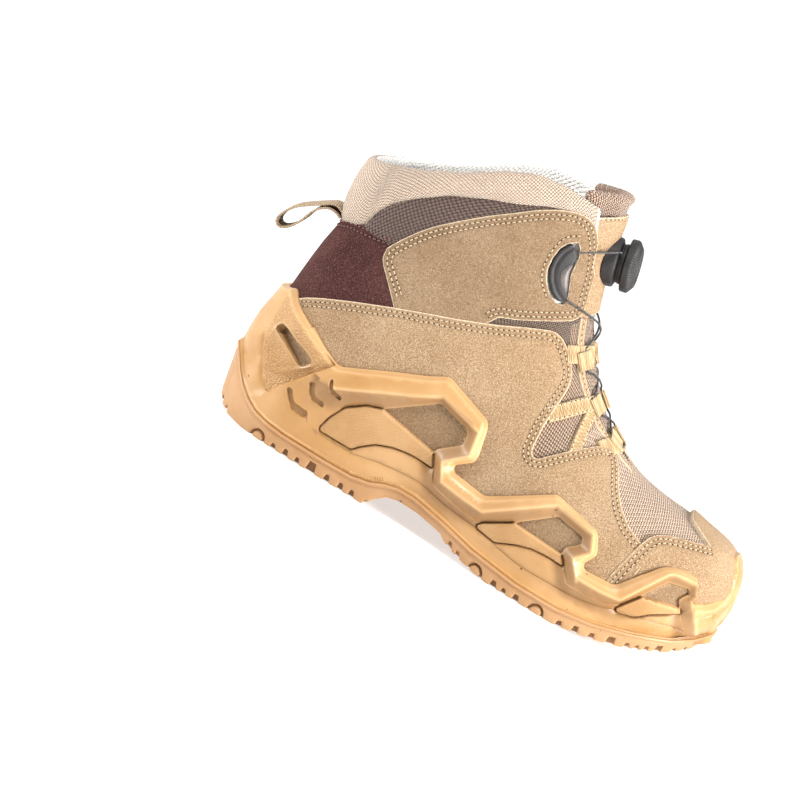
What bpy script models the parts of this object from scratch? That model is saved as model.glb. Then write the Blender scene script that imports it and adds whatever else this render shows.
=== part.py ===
# Safety boot for the right foot, standing empty on its sole.
# X runs from the back of the heel to the toe, Y to the inner side of the foot, Z up from the floor.
# Every shape follows one last, worked out by last_point() from the table of sections below.

import math

import bmesh
import bpy
import numpy as np
from mathutils import Matrix, Vector

MM = 0.001
GAP = 0.3 * MM
CAGE_GAP = 0.8 * MM

# The object's own frame: its box is centred on X and Y and stands on Z = 0.
FRAME_X = -140.99 * MM
FRAME_Y = -0.78 * MM

UPPER_WALL = 2.6 * MM
TREAD_PROUD = 0.8 * MM
INSOLE_THICK = 4.5 * MM
INSOLE_INSET = 3.8 * MM

# How far the cage stands out of the last at each row, over the ridge and down the sides, in mm.
CAGE_PROUD = {
    "place": (0, 1, 2, 3, 4, 5, 6, 7, 15, 16, 17, 18, 19, 20, 21),
    "over": (5.6, 5.4, 3.6, 3.0, 2.6, 3.4, 6, 7, 7, 7.6, 9, 7.8, 5.4, 4, 3.4),
    "side": (5.6, 5.6, 5.6, 6, 6.6, 7, 7, 7, 7, 7.6, 9, 7.8, 5.4, 4, 3.4),
}

# One row for each plane across the last, from the toe, back under the foot, and up the heel to the
# collar. Each plane holds the Y axis and runs from a point under or behind the foot to a point over it.
SECTION_COLUMNS = (
    "under_x", "under_z", "over_x", "over_z", "mid_y",
    "feather", "widest", "ridge_y", "fullness", "throat", "flange_out", "floor_out",
)
SECTIONS = (
    (291.5, 33.0, 291.7, 34.0, 7.0, 0.0, 0.3, 7.0, 2.20, 0.0, 6.9, 2.2),
    (289.6, 32.0, 293.0, 44.5, 6.8, 11.5, 12.5, 7.0, 2.30, 0.0, 7.0, 2.6),
    (285.2, 30.0, 293.0, 56.0, 6.4, 21.0, 22.5, 7.0, 2.40, 0.0, 7.2, 3.4),
    (278.5, 27.0, 289.8, 65.5, 5.8, 29.5, 31.5, 6.8, 2.45, 0.0, 7.5, 4.4),
    (268.8, 23.5, 283.0, 72.5, 5.0, 37.0, 39.5, 6.5, 2.45, 0.0, 7.8, 5.4),
    (255.0, 20.0, 270.0, 76.0, 3.8, 42.5, 45.5, 6.0, 2.40, 0.0, 8.0, 6.2),
    (238.0, 18.0, 251.0, 77.8, 2.4, 46.5, 49.5, 5.5, 2.30, 0.0, 8.2, 6.8),
    (219.0, 16.8, 233.0, 79.8, 1.0, 48.5, 51.0, 5.0, 2.20, 0.0, 8.2, 7.0),
    (198.0, 16.0, 215.8, 84.2, 0.0, 47.5, 50.5, 4.5, 2.10, 0.0, 8.0, 6.8),
    (175.0, 17.0, 198.0, 93.6, -1.0, 44.0, 48.0, 4.0, 2.00, 11.0, 7.8, 6.2),
    (150.0, 19.0, 182.0, 107.2, -1.8, 39.5, 44.0, 3.2, 1.92, 14.0, 7.5, 5.6),
    (122.0, 22.0, 169.4, 122.9, -1.6, 36.0, 40.5, 2.4, 1.92, 15.5, 7.4, 5.4),
    (92.0, 25.0, 161.2, 136.5, -0.8, 34.5, 38.5, 1.6, 1.98, 16.0, 7.4, 5.6),
    (62.0, 27.0, 156.4, 148.6, 0.0, 34.0, 37.8, 0.8, 2.05, 16.3, 7.5, 6.0),
    (38.0, 28.0, 153.3, 158.5, 0.0, 31.0, 37.0, 0.2, 2.12, 16.8, 7.6, 5.6),
    (21.0, 30.0, 150.8, 166.0, 0.0, 22.0, 36.5, 0.0, 2.18, 17.4, 8.2, 5.2),
    (11.5, 34.0, 149.2, 172.0, 0.0, 10.0, 36.0, 0.0, 2.22, 18.0, 9.0, 4.8),
    (8.3, 42.0, 148.3, 177.0, 0.0, 0.0, 35.5, 0.0, 2.25, 18.6, 9.6, 4.6),
    (7.5, 55.0, 147.7, 181.0, 0.0, 0.0, 35.0, 0.0, 2.25, 19.2, 9.6, 4.6),
    (7.8, 69.0, 147.2, 184.5, 0.0, 0.0, 34.8, 0.0, 2.25, 19.8, 9.6, 4.6),
    (9.0, 85.0, 146.8, 188.0, 0.0, 0.0, 34.8, 0.0, 2.25, 20.4, 9.6, 4.6),
    (11.0, 103.0, 146.3, 191.5, 0.0, 0.0, 35.0, 0.0, 2.25, 21.2, 9.6, 4.6),
    (13.6, 119.0, 145.8, 195.0, 0.0, 0.0, 35.6, 0.0, 2.25, 22.0, 9.6, 4.6),
    (12.4, 134.0, 145.0, 199.0, 0.0, 0.0, 36.4, 0.0, 2.25, 23.0, 9.6, 4.6),
    (11.2, 150.0, 144.0, 204.5, 0.0, 0.0, 37.0, 0.0, 2.25, 24.0, 9.6, 4.6),
    (12.2, 167.0, 142.0, 212.0, 0.0, 0.0, 37.0, 0.0, 2.25, 25.0, 9.6, 4.6),
    (14.0, 186.0, 139.0, 224.0, 0.0, 0.0, 36.5, 0.0, 2.25, 26.0, 9.6, 4.6),
)
THROAT_ROW = 8
HEEL_ROW = 17
LAST_ROW = len(SECTIONS) - 1

# The collar's top edge, seen from the side.
COLLAR_EDGE = {
    "x": (8.0, 20.0, 40.0, 60.0, 80.0, 95.0, 112.0, 130.0, 150.0),
    "z": (156.5, 160.2, 168.8, 179.5, 192.3, 199.0, 200.8, 198.6, 194.0),
}

# The line where the tread meets the cage, and the underside of the tread, seen from the side.
FLANGE_LINE = {
    "x": (-12, 0, 3, 8, 14, 20, 27, 36, 47, 75, 90, 100, 107, 115, 125, 145, 165, 195, 220, 240,
          260, 280, 290, 300, 312),
    "z": (40, 33.5, 31, 25.5, 20, 15.5, 12.3, 10.6, 9.8, 9.8, 10.3, 12.5, 15.8, 18, 18.2, 15.2, 11.2,
          8.4, 8.6, 10.8, 15.4, 21.3, 26, 33, 41),
}
FLOOR_LINE = {
    "x": (-12, 1, 4, 8, 14, 24, 103, 106, 112, 118, 130, 146, 150, 156, 164, 172, 180, 222, 240, 255,
          270, 280, 290, 297, 312),
    "z": (18, 9.5, 6.2, 3.2, 1.2, 0, 0, 5, 10, 11.7, 11.6, 9.2, 6.6, 4.4, 2.5, 1, 0, 0, 2.2, 5.2, 9.5, 13,
          18, 24, 38),
}


def smooth_column(values, place):
    """Catmull-Rom through one column of a table, at places counted in rows."""
    values = np.asarray(values, float)
    place = np.clip(np.asarray(place, float), 0, len(values) - 1)
    row = np.minimum(place.astype(int), len(values) - 2)
    step = place - row
    before = values[np.maximum(row - 1, 0)]
    here = values[row]
    after = values[row + 1]
    beyond = values[np.minimum(row + 2, len(values) - 1)]
    tangent_here = (after - before) / 2
    tangent_after = (beyond - here) / 2
    return (
        (2 * step**3 - 3 * step**2 + 1) * here
        + (step**3 - 2 * step**2 + step) * tangent_here
        + (3 * step**2 - 2 * step**3) * after
        + (step**3 - step**2) * tangent_after
    )


def section(place):
    """The section's measures at a place along the rows, in metres; fullness is a bare exponent."""
    table = np.array(SECTIONS)
    measures = {
        name: smooth_column(table[:, index], place) * (1 if name == "fullness" else MM)
        for index, name in enumerate(SECTION_COLUMNS)
    }
    measures["feather"] = np.maximum(measures["feather"], 0)
    measures["feather"] = np.where(np.asarray(place) >= HEEL_ROW, 0, measures["feather"])
    measures["throat"] = np.where(np.asarray(place) <= THROAT_ROW, 0, np.maximum(measures["throat"], 0))
    ratio = np.clip(measures["feather"] / measures["widest"], 0, 1)
    measures["tuck"] = np.arccos(ratio ** (measures["fullness"] / 2))
    return measures


def last_point(place, around):
    """A point of the last: around runs from 0 at the outer feather edge over the foot to 1 inside."""
    m = section(place)
    angle = -m["tuck"] + around * (math.pi + 2 * m["tuck"])
    power = 2 / m["fullness"]
    out = np.sign(np.cos(angle)) * np.abs(np.cos(angle)) ** power
    up = np.sign(np.sin(angle)) * np.abs(np.sin(angle)) ** power
    low = np.abs(np.sin(m["tuck"])) ** power
    run_x = m["over_x"] - m["under_x"]
    run_z = m["over_z"] - m["under_z"]
    share = (up + low) / (1 + low)
    middle = m["mid_y"] + (m["ridge_y"] - m["mid_y"]) * np.maximum(up, 0) ** 2
    return np.stack(
        (m["under_x"] + run_x * share, middle - m["widest"] * out, m["under_z"] + run_z * share), axis=-1
    )


def last_normal(place, around):
    """The last's outward normal, from short steps along and across it, straight ahead at the toe's tip."""
    step = 1e-3
    ahead = np.clip(1 - np.asarray(place, float), 0, 1)[..., None]
    place = np.clip(place, 1, LAST_ROW - 0.02)
    around = np.clip(around, step, 1 - step)
    along = last_point(place + step, around) - last_point(place - step, around)
    across = last_point(place, around + step) - last_point(place, around - step)
    normal = np.cross(across, along)
    normal /= np.linalg.norm(normal, axis=-1, keepdims=True)
    normal = normal * (1 - ahead) + np.array((1.0, 0, 0)) * ahead
    return normal / np.linalg.norm(normal, axis=-1, keepdims=True)


def last_offset(place, around, depth):
    """A point at a depth outside the last, or inside it where the depth is negative."""
    return last_point(place, around) + last_normal(place, around) * np.asarray(depth)[..., None]


def throat_around(place):
    """How far round the last the outer edge of the throat lies; the inner edge mirrors it."""
    m = section(place)
    angle = np.arccos(np.clip(m["throat"] / m["widest"], 0, 1) ** (m["fullness"] / 2))
    return (angle + m["tuck"]) / (math.pi + 2 * m["tuck"])


def feather_outline(place, spread):
    """The plan outline of the feather edge, both sides, moved outwards by a spread."""
    step = 0.02
    sides = []
    for side in (-1, 1):
        ends = []
        for shift in (-step, step):
            m = section(np.clip(np.asarray(place, float) + shift, 0, HEEL_ROW))
            ends.append(np.stack((m["under_x"], m["mid_y"] + side * m["feather"]), axis=-1))
        along = ends[1] - ends[0]
        normal = np.stack((along[..., 1], -along[..., 0]), axis=-1) * side
        normal /= np.linalg.norm(normal, axis=-1, keepdims=True)
        m = section(place)
        middle = np.stack((m["under_x"], m["mid_y"] + side * m["feather"]), axis=-1)
        sides.append(middle + normal * np.asarray(spread)[..., None])
    return sides


def start_scene():
    for thing in list(bpy.data.objects):
        bpy.data.objects.remove(thing, do_unlink=True)
    boot = bpy.data.collections.new("safety_boot")
    cutters = bpy.data.collections.new("cutters")
    for collection in (boot, cutters):
        bpy.context.scene.collection.children.link(collection)
    frame = bpy.data.objects.new("boot_frame", None)
    frame.location = (FRAME_X, FRAME_Y, 0)
    boot.objects.link(frame)
    return boot, cutters, frame


boot_collection, cutter_collection, boot_frame = start_scene()


def material(name, colour, roughness, metallic=0.0):
    made = bpy.data.materials.new(name)
    made.use_nodes = True
    shader = made.node_tree.nodes["Principled BSDF"]
    shader.inputs["Base Color"].default_value = (*colour, 1)
    shader.inputs["Roughness"].default_value = roughness
    shader.inputs["Metallic"].default_value = metallic
    return made


SUEDE = material("sand_suede", (0.47, 0.35, 0.21), 0.95)
RUBBER = material("tan_rubber", (0.62, 0.38, 0.16), 0.6)
CAGE = material("tan_cage", (0.72, 0.46, 0.20), 0.5)
FOOTBED = material("footbed_cloth", (0.85, 0.80, 0.72), 0.95)
MESH = material("tongue_mesh", (0.50, 0.34, 0.25), 0.9)
PANEL = material("panel_suede", (0.50, 0.38, 0.23), 0.95)
WEBBING = material("webbing", (0.66, 0.50, 0.28), 0.9)
BLACK = material("black_plastic", (0.03, 0.028, 0.03), 0.35)
WIRE = material("lace_wire", (0.10, 0.10, 0.11), 0.35, 0.8)


def mesh_object(name, points, faces, paint=None):
    """An object from points and faces, welded, facing out, smooth with sharp corners kept."""
    mesh = bpy.data.meshes.new(name)
    mesh.from_pydata([tuple(point) for point in points], [], faces)
    tidy = bmesh.new()
    tidy.from_mesh(mesh)
    bmesh.ops.remove_doubles(tidy, verts=tidy.verts, dist=2e-6)
    bmesh.ops.recalc_face_normals(tidy, faces=tidy.faces)
    tidy.to_mesh(mesh)
    tidy.free()
    mesh.shade_smooth()
    made = bpy.data.objects.new(name, mesh)
    made.parent = boot_frame
    if paint is None:
        cutter_collection.objects.link(made)
        made.hide_render = True
        made.display_type = "WIRE"
    else:
        boot_collection.objects.link(made)
        mesh.materials.append(paint)
    return made


def grid_faces(rows, columns, keep=None):
    """Quads between neighbouring rows and columns of a grid of points."""
    faces = []
    for row in range(rows - 1):
        for column in range(columns - 1):
            if keep is None or keep(row, column):
                corner = row * columns + column
                faces.append((corner, corner + 1, corner + columns + 1, corner + columns))
    return faces


def solidify(target, thickness, offset):
    modifier = target.modifiers.new("thickness", "SOLIDIFY")
    modifier.thickness = thickness
    modifier.offset = offset
    modifier.use_quality_normals = True


def boolean(target, cutter, operation):
    modifier = target.modifiers.new(operation.lower(), "BOOLEAN")
    modifier.operation = operation
    modifier.solver = "EXACT"
    modifier.object = cutter


def bisect(above, low, high):
    """Where a rising function crosses zero, for arrays of lower and upper ends."""
    for _ in range(40):
        middle = (low + high) / 2
        over = above(middle) > 0
        high = np.where(over, middle, high)
        low = np.where(over, low, middle)
    return (low + high) / 2


# ---- Upper: the whole last, open at collar, throat and underneath, with a real wall.

UPPER_COLUMNS = 11
SHAFT_ROW = 20
UPPER_PLACES = (0, 0.45, 1, 1.6, 2.3, 3, 4, 5, 6, 7, 8, 8.6, 9.4, 10.3, 11.3, 12.4, 13.4, 14.3, 15, 15.6,
                16.1, 16.5, 17, 18, 19, 20, 21, 22, 23, 24, 25, 26)


def collar_place(share):
    """The place along the rows where the collar's edge crosses each line up the side."""

    def above(place):
        point = last_point(place, share * throat_around(place))
        edge = np.interp(point[..., 0] / MM, COLLAR_EDGE["x"], COLLAR_EDGE["z"]) * MM
        return point[..., 2] - edge

    return bisect(above, np.full(share.shape, SHAFT_ROW + 0.5), np.full(share.shape, LAST_ROW + 0.0))


def upper_half(side):
    share = np.linspace(0, 1, UPPER_COLUMNS)
    top = collar_place(share)
    rows = []
    for place in UPPER_PLACES:
        rise = max(0, place - SHAFT_ROW) / (LAST_ROW - SHAFT_ROW)
        places = min(place, SHAFT_ROW) + (top - SHAFT_ROW) * rise
        around = share * throat_around(places)
        rows.append(last_point(places, around if side < 0 else 1 - around))
    rows = np.array(rows)
    rows[0] = rows[0, -1]
    return rows


def make_upper():
    halves = [upper_half(side).reshape(-1, 3) for side in (-1, 1)]
    faces = grid_faces(len(UPPER_PLACES), UPPER_COLUMNS)
    other = [tuple(corner + len(halves[0]) for corner in reversed(face)) for face in faces]
    upper = mesh_object("upper", np.concatenate(halves), faces + other, SUEDE)
    solidify(upper, UPPER_WALL, -1)


# ---- Closed forms of the last, used whole or as cutters.

def form_around(place):
    """Turns round one whole section, at the upper's own columns and the ridge between them."""
    outer = np.linspace(0, 1, UPPER_COLUMNS) * throat_around(place)
    return np.concatenate((outer, [0.5], 1 - outer[::-1]))


def skirt_columns(level, rings):
    """The two sides' points below the feather edge, from the lowest ring up, as (spread, height) say."""
    sides = ([], [])
    for spread, height in rings:
        outline = feather_outline(level, spread(level))
        if level in (0, HEEL_ROW):
            tip = section(level)["under_x"] + spread(level) * (1 if level == 0 else -1)
            outline = [(tip, section(level)["mid_y"])] * 2
        for points, (x, y) in zip(sides, outline):
            points.append((x, y, height(level, x)))
    return sides


def cage_depth(place, around):
    """How far the cage stands out of the last, thinner over the toe and up the heel."""
    over = np.interp(place, CAGE_PROUD["place"], CAGE_PROUD["over"])
    side = np.interp(place, CAGE_PROUD["place"], CAGE_PROUD["side"])
    share = np.clip((np.abs(around - 0.5) - 0.2) / 0.15, 0, 1)
    return (over + (side - over) * share) * MM


def foot_depth(place, around):
    return np.full(around.shape, CAGE_GAP)


def closed_form(depth, rings, top_place):
    """The last grown by depth(place, around), then carried down through rings to a flat base.

    Each ring is a pair of functions: a spread in plan, and a height.
    """
    places = [place for place in UPPER_PLACES if place <= top_place]
    heel = places.index(HEEL_ROW)
    rows = []
    for place in places:
        around = form_around(place)
        arch = last_offset(np.full(around.shape, place), around, depth(place, around))
        if place == 0:
            arch[:] = arch[UPPER_COLUMNS]
        if place >= HEEL_ROW:
            arch[0, 1] = 0
            arch[-1, 1] = 0
        outer, inner = skirt_columns(min(place, HEEL_ROW), rings)
        rows.append([*outer, *arch, *reversed(inner)])
    rows = np.array(rows)
    count = rows.shape[1]
    skirt = len(rings)

    def keep(row, column):
        return row < heel or skirt <= column < count - 1 - skirt

    faces = grid_faces(len(rows), count, keep)
    for row in range(heel):
        corner = row * count
        faces.append((corner + count - 1, corner, corner + count, corner + 2 * count - 1))
    last = (len(rows) - 1) * count
    points = np.vstack((rows.reshape(-1, 3), rows[-1].mean(axis=0)))
    for column in range(skirt, count - 1 - skirt):
        faces.append((last + column, last + column + 1, len(points) - 1))
    return points, faces


def sole_tub(rings):
    """The sole's outline as a closed block, through rings of (plan spread, height) from the floor up."""
    rows = []
    for place in [place for place in UPPER_PLACES if place <= HEEL_ROW]:
        outer, inner = skirt_columns(place, rings)
        rows.append([*outer, *reversed(inner)])
    rows = np.array(rows)
    count = rows.shape[1]
    faces = grid_faces(len(rows), count)
    for row in range(len(rows) - 1):
        corner = row * count
        faces.append((corner + count - 1, corner, corner + count, corner + 2 * count - 1))
    return rows.reshape(-1, 3), faces


def flange_height(level, x):
    return np.interp(x / MM, FLANGE_LINE["x"], FLANGE_LINE["z"]) * MM


def below_floor(level, x):
    return -6 * MM


def just_under_feather(level, x):
    return section(level)["under_z"] - CAGE_GAP


def foot_form(name):
    return mesh_object(name, *closed_form(foot_depth, ((lambda level: CAGE_GAP, just_under_feather),), 22))


# ---- Outlines seen from the side, cut right through the boot.

CAGE_TOP = (
    (-12, 75.5), (3, 75.2), (8, 74.6), (16, 71), (30, 64), (54.5, 55.5), (60, 58.5), (108, 83),
    (134, 75.5), (140, 70), (143.5, 52.5), (134.5, 44), (136.5, 40), (155.5, 37.5), (189.5, 60), (214, 56.2), (221, 51),
    (225, 42.5), (222, 37), (223, 31.5), (241.5, 32.3), (257, 53), (264.5, 58), (276, 59), (282, 51),
    (283.2, 42.8), (291.5, 47), (295, 53), (295, 60), (290, 69), (281, 74), (280, 92), (312, 92),
)
CAGE_WINDOWS = {
    "heel_slot": ((14, 58), (16, 60), (27, 55), (37, 52), (40.5, 49), (37.5, 44.5), (34.5, 44.5), (14, 55.5)),
    "rear_hexagon": ((87, 49.5), (111, 68.5), (130.5, 63.5), (132.5, 55), (122, 44.7), (120, 43)),
    "middle_hexagon": ((178.5, 34), (196.5, 50.5), (212.5, 48), (215.5, 44.5), (208.5, 36), (207, 32)),
    "front_hexagon": ((257, 34), (266, 49), (276.5, 51.5), (278.5, 49), (276.5, 38)),
}
THROUGH = 90 * MM


def side_prism(name, outlines, near=-THROUGH, far=THROUGH):
    """Flat outlines in X and Z, the later ones holes, carried through Y as a closed cutter."""
    curve = bpy.data.curves.new(name, "CURVE")
    curve.dimensions = "2D"
    curve.fill_mode = "BOTH"
    curve.extrude = (far - near) / 2
    for outline in outlines:
        spline = curve.splines.new("POLY")
        spline.points.add(len(outline) - 1)
        for point, (x, z) in zip(spline.points, outline):
            point.co = (x * MM, z * MM, 0, 1)
        spline.use_cyclic_u = True
    flat = bpy.data.objects.new(name, curve)
    flat.rotation_euler = (math.pi / 2, 0, 0)
    flat.location = (0, (near + far) / 2, 0)
    return curve_to_mesh(flat, None)


def curve_to_mesh(curve_object, paint):
    """A curve made a welded mesh in the same place, and the curve taken away."""
    bpy.context.scene.collection.objects.link(curve_object)
    bpy.context.view_layer.update()
    graph = bpy.context.evaluated_depsgraph_get()
    mesh = bpy.data.meshes.new_from_object(curve_object.evaluated_get(graph))
    points = [curve_object.matrix_world @ vertex.co for vertex in mesh.vertices]
    faces = [tuple(face.vertices) for face in mesh.polygons]
    name = curve_object.name
    curve = curve_object.data
    bpy.data.objects.remove(curve_object, do_unlink=True)
    bpy.data.curves.remove(curve)
    bpy.data.meshes.remove(mesh)
    return mesh_object(name, points, faces, paint)


def line_points(line, shift):
    return [(x, z + shift / MM) for x, z in zip(line["x"], line["z"])]


def make_cage():
    rings = (
        (lambda level: section(level)["floor_out"], below_floor),
        (lambda level: section(level)["flange_out"], flange_height),
    )
    cage = mesh_object("midsole_cage", *closed_form(cage_depth, rings, 21), CAGE)
    outline = line_points(FLANGE_LINE, GAP / 2) + list(reversed(CAGE_TOP))
    boolean(cage, foot_form("foot_space"), "DIFFERENCE")
    boolean(cage, side_prism("cage_outline", [outline, *CAGE_WINDOWS.values()]), "INTERSECT")


# ---- Outsole: the tread, with its edge notches, chevrons and half moons.

EDGE_NOTCHES = {
    "x": (46, 55, 62, 70, 82, 89, 96, 153, 159, 184, 190, 199, 225, 235, 243, 253, 261, 267, 275, 283),
    "width": (2, 2, 2, 4.5, 2, 2, 2, 2.5, 2.5, 2, 2, 2, 2, 2.5, 2.5, 3.5, 2, 2, 3.5, 2),
    "depth": (2, 2.2, 2, 3.5, 2.1, 2.3, 2.5, 2.5, 2.5, 2, 2.2, 2, 2, 2.5, 2.5, 3, 2, 2, 3, 2.5),
}
NOTCH_REACH = 11 * MM
HALF_MOONS = ((36.5, 3.5), (176, 3.0), (215, 2.6))
MOON_OUTER = 5.2 * MM
MOON_INNER = 3.5 * MM
MOON_REACH = 4 * MM
CHEVRONS = (40, 54, 68, 82, 172, 186, 200, 214, 228, 242)
CHEVRON_ARM = 17 * MM
CHEVRON_WIDTH = 3 * MM
CHEVRON_DEPTH = 4 * MM
CHEVRON_ANGLE = math.radians(35)


def floor_height(x):
    return float(np.interp(x / MM, FLOOR_LINE["x"], FLOOR_LINE["z"])) * MM


def box_points(size, matrix):
    corners = [Vector((x, y, z)) for x in (-0.5, 0.5) for y in (-0.5, 0.5) for z in (-0.5, 0.5)]
    return [matrix @ Vector((c.x * size[0], c.y * size[1], c.z * size[2])) for c in corners]


BOX_FACES = ((0, 1, 3, 2), (4, 6, 7, 5), (0, 4, 5, 1), (2, 3, 7, 6), (0, 2, 6, 4), (1, 5, 7, 3))


def edge_y(x, side):
    """The tread's edge at one X, on one side."""
    levels = np.linspace(0, HEEL_ROW, 400)
    outline = feather_outline(levels, section(levels)["floor_out"])[0 if side < 0 else 1]
    order = np.argsort(outline[:, 0])
    return float(np.interp(x, outline[order, 0], outline[order, 1]))


def add_boxes(name, boxes):
    points = []
    faces = []
    for size, matrix in boxes:
        start = len(points)
        points += box_points(size, matrix)
        faces += [tuple(start + corner for corner in face) for face in BOX_FACES]
    return mesh_object(name, points, faces)


def notch_boxes():
    boxes = []
    for x, width, depth in zip(EDGE_NOTCHES["x"], EDGE_NOTCHES["width"], EDGE_NOTCHES["depth"]):
        for side in (-1, 1):
            top = floor_height(x * MM) + depth * MM
            low = -8 * MM
            far = edge_y(x * MM, side) + side * 8 * MM
            near = edge_y(x * MM, side) - side * NOTCH_REACH
            place = Matrix.Translation((x * MM, (near + far) / 2, (top + low) / 2))
            boxes.append(((width * MM, abs(far - near), top - low), place))
    return boxes


def chevron_boxes():
    boxes = []
    for x in CHEVRONS:
        for side in (-1, 1):
            turn = Matrix.Rotation(-side * CHEVRON_ANGLE, 4, "Z")
            top = floor_height(x * MM) + CHEVRON_DEPTH
            low = -8 * MM
            shift = Matrix.Translation((0, side * (CHEVRON_ARM / 2 + 1.5 * MM), 0))
            place = Matrix.Translation((x * MM, section(8)["mid_y"], (top + low) / 2)) @ turn @ shift
            boxes.append(((CHEVRON_WIDTH, CHEVRON_ARM, top - low), place))
    return boxes


def ring_outline(x, z, radius, count=9):
    turns = [2 * math.pi * index / count for index in range(count)]
    return [(x + radius / MM * math.cos(turn), z + radius / MM * math.sin(turn)) for turn in turns]


def tread_foot(level):
    return section(level)["floor_out"] + TREAD_PROUD


def tread_flange(level):
    return section(level)["flange_out"] + TREAD_PROUD


def over_flange(level, x):
    return flange_height(level, x) + 5 * MM


def make_outsole():
    rings = ((tread_foot, below_floor), (tread_flange, flange_height), (tread_flange, over_flange))
    outsole = mesh_object("outsole", *sole_tub(rings), RUBBER)
    outline = line_points(FLOOR_LINE, 0) + list(reversed(line_points(FLANGE_LINE, -GAP / 2)))
    boolean(outsole, side_prism("tread_outline", [outline]), "INTERSECT")
    boolean(outsole, add_boxes("edge_notches", notch_boxes()), "DIFFERENCE")
    boolean(outsole, add_boxes("chevrons", chevron_boxes()), "DIFFERENCE")
    for index, (x, z) in enumerate(HALF_MOONS):
        for side, word in ((-1, "outer"), (1, "inner")):
            edge = edge_y(x * MM, side)
            near, far = sorted((edge - side * MOON_REACH, edge + side * 9 * MM))
            rings = [ring_outline(x, z, MOON_OUTER), ring_outline(x, z, MOON_INNER)]
            moon = side_prism(f"half_moon_{word}_{index}", rings, near, far)
            boolean(outsole, moon, "DIFFERENCE")


# ---- Insole: the footbed inside the upper, on the midsole.

INSOLE_PLACES = np.array((0.9, 1.4, 2, 3, 4, 5, 6, 7, 8, 9, 10, 11, 12, 13, 14, 15, 15.7))
INSOLE_COLUMNS = 5


def make_insole():
    rows = []
    for place in INSOLE_PLACES:
        outer, inner = feather_outline(place, -INSOLE_INSET)
        height = section(place)["under_z"] + GAP
        rows.append([
            (*(outer + (inner - outer) * share), height) for share in np.linspace(0, 1, INSOLE_COLUMNS)
        ])
    points = np.array(rows).reshape(-1, 3)
    insole = mesh_object("insole", points, grid_faces(len(rows), INSOLE_COLUMNS), FOOTBED)
    if insole.data.polygons[0].normal.z < 0:
        insole.data.flip_normals()
    solidify(insole, INSOLE_THICK, 1)


# ---- Tongue, its front panel, and what stands on it.

TONGUE_THICK = 6 * MM
TONGUE_SINK = UPPER_WALL + 1.4 * MM
TONGUE_RISE = 2.3 * MM
TONGUE_HALF = {
    "place": (7.4, 9, 11, 14, 17, 20, 22, 24, 25.6),
    "half": (15, 20, 24, 28, 31, 34, 39, 45, 49),
}
TONGUE_COLUMNS = 13
TONGUE_LOW = 7.4
TONGUE_TOP = 24.8
PANEL_THICK = 1.8 * MM
PANEL_PLACES = np.linspace(12.9, 23.0, 12)
PANEL_COLUMNS = 7


def girth(place):
    """The length round the last's section, in metres."""
    points = last_point(np.full(80, float(place)), np.linspace(0, 1, 80))
    return np.linalg.norm(np.diff(points, axis=0), axis=1).sum()


def tongue_depth(place, around):
    """The tongue's face: under the upper's wall at its sides, risen into the throat between them."""
    edge = 0.5 - throat_around(place)
    off = np.abs(around - 0.5)
    rise = np.clip((edge * 0.8 - off) / (edge * 0.45 + 1e-6), 0, 1)
    rise = rise * rise * (3 - 2 * rise)
    room = np.clip((section(place)["throat"] - 7 * MM) / (6 * MM), 0, 1)
    return -TONGUE_SINK + rise * room * TONGUE_RISE


def patch(name, places, half_around, columns, depth, thickness, paint):
    """A piece that follows the last: from a depth, made thicker outwards or inwards."""
    rows = []
    for place in places:
        spread = half_around(place)
        around = 0.5 + np.linspace(-spread, spread, columns)
        level = np.full(around.shape, float(place))
        rows.append(last_offset(level, around, depth(level, around)))
    points = np.array(rows).reshape(-1, 3)
    made = mesh_object(name, points, grid_faces(len(places), columns), paint)
    middle = len(made.data.polygons) // 2
    face = made.data.polygons[middle]
    outwards = Vector(last_normal(np.array(places[len(places) // 2]), np.array(0.5)))
    if face.normal.dot(outwards) < 0:
        made.data.flip_normals()
    solidify(made, abs(thickness), 1 if thickness > 0 else -1)
    return made


def make_tongue():
    places = np.linspace(TONGUE_LOW, TONGUE_TOP, 17)

    def half_around(place):
        half = np.interp(place, TONGUE_HALF["place"], TONGUE_HALF["half"]) * MM
        return half / girth(place)

    patch("tongue", places, half_around, TONGUE_COLUMNS, tongue_depth, -TONGUE_THICK, MESH)


def panel_depth(place, around):
    return tongue_depth(place, np.full(around.shape, 0.5)) + 2 * GAP


def make_tongue_panel():
    def half_around(place):
        return 0.5 - float(throat_around(place)) - 1.4 * MM / girth(place)

    patch("tongue_panel", PANEL_PLACES, half_around, PANEL_COLUMNS, panel_depth, PANEL_THICK, PANEL)


# The dial stands square on the panel, leaning back by its tilt.
DIAL_CENTRE = Vector((150.5 * MM, 0, 175.2 * MM))
DIAL_TILT = math.radians(15)
BASE_RADIUS = 14.0 * MM
BASE_THICK = 5.8 * MM
KNOB_RADIUS = 14.5 * MM
KNOB_THICK = 7.5 * MM
KNOB_BEVEL = 1.2 * MM


def dial_matrix(distance):
    turn = Matrix.Rotation(math.pi / 2 - DIAL_TILT, 4, "Y")
    return Matrix.Translation(DIAL_CENTRE) @ turn @ Matrix.Translation((0, 0, distance))


def turned(name, profile, matrix, paint, steps=28):
    """A profile of (radius, height) turned about its own axis, with the axis set by a matrix."""
    mesh = bpy.data.meshes.new(name)
    mesh.from_pydata([(radius, 0, height) for radius, height in profile], [
        (index, index + 1) for index in range(len(profile) - 1)
    ], [])
    made = bpy.data.objects.new(name, mesh)
    made.parent = boot_frame
    made.matrix_local = matrix
    boot_collection.objects.link(made)
    mesh.materials.append(paint)
    screw = made.modifiers.new("turn", "SCREW")
    screw.steps = steps
    screw.render_steps = steps
    screw.use_merge_vertices = True
    screw.merge_threshold = 1e-5
    screw.use_smooth_shade = True
    return made


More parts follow.
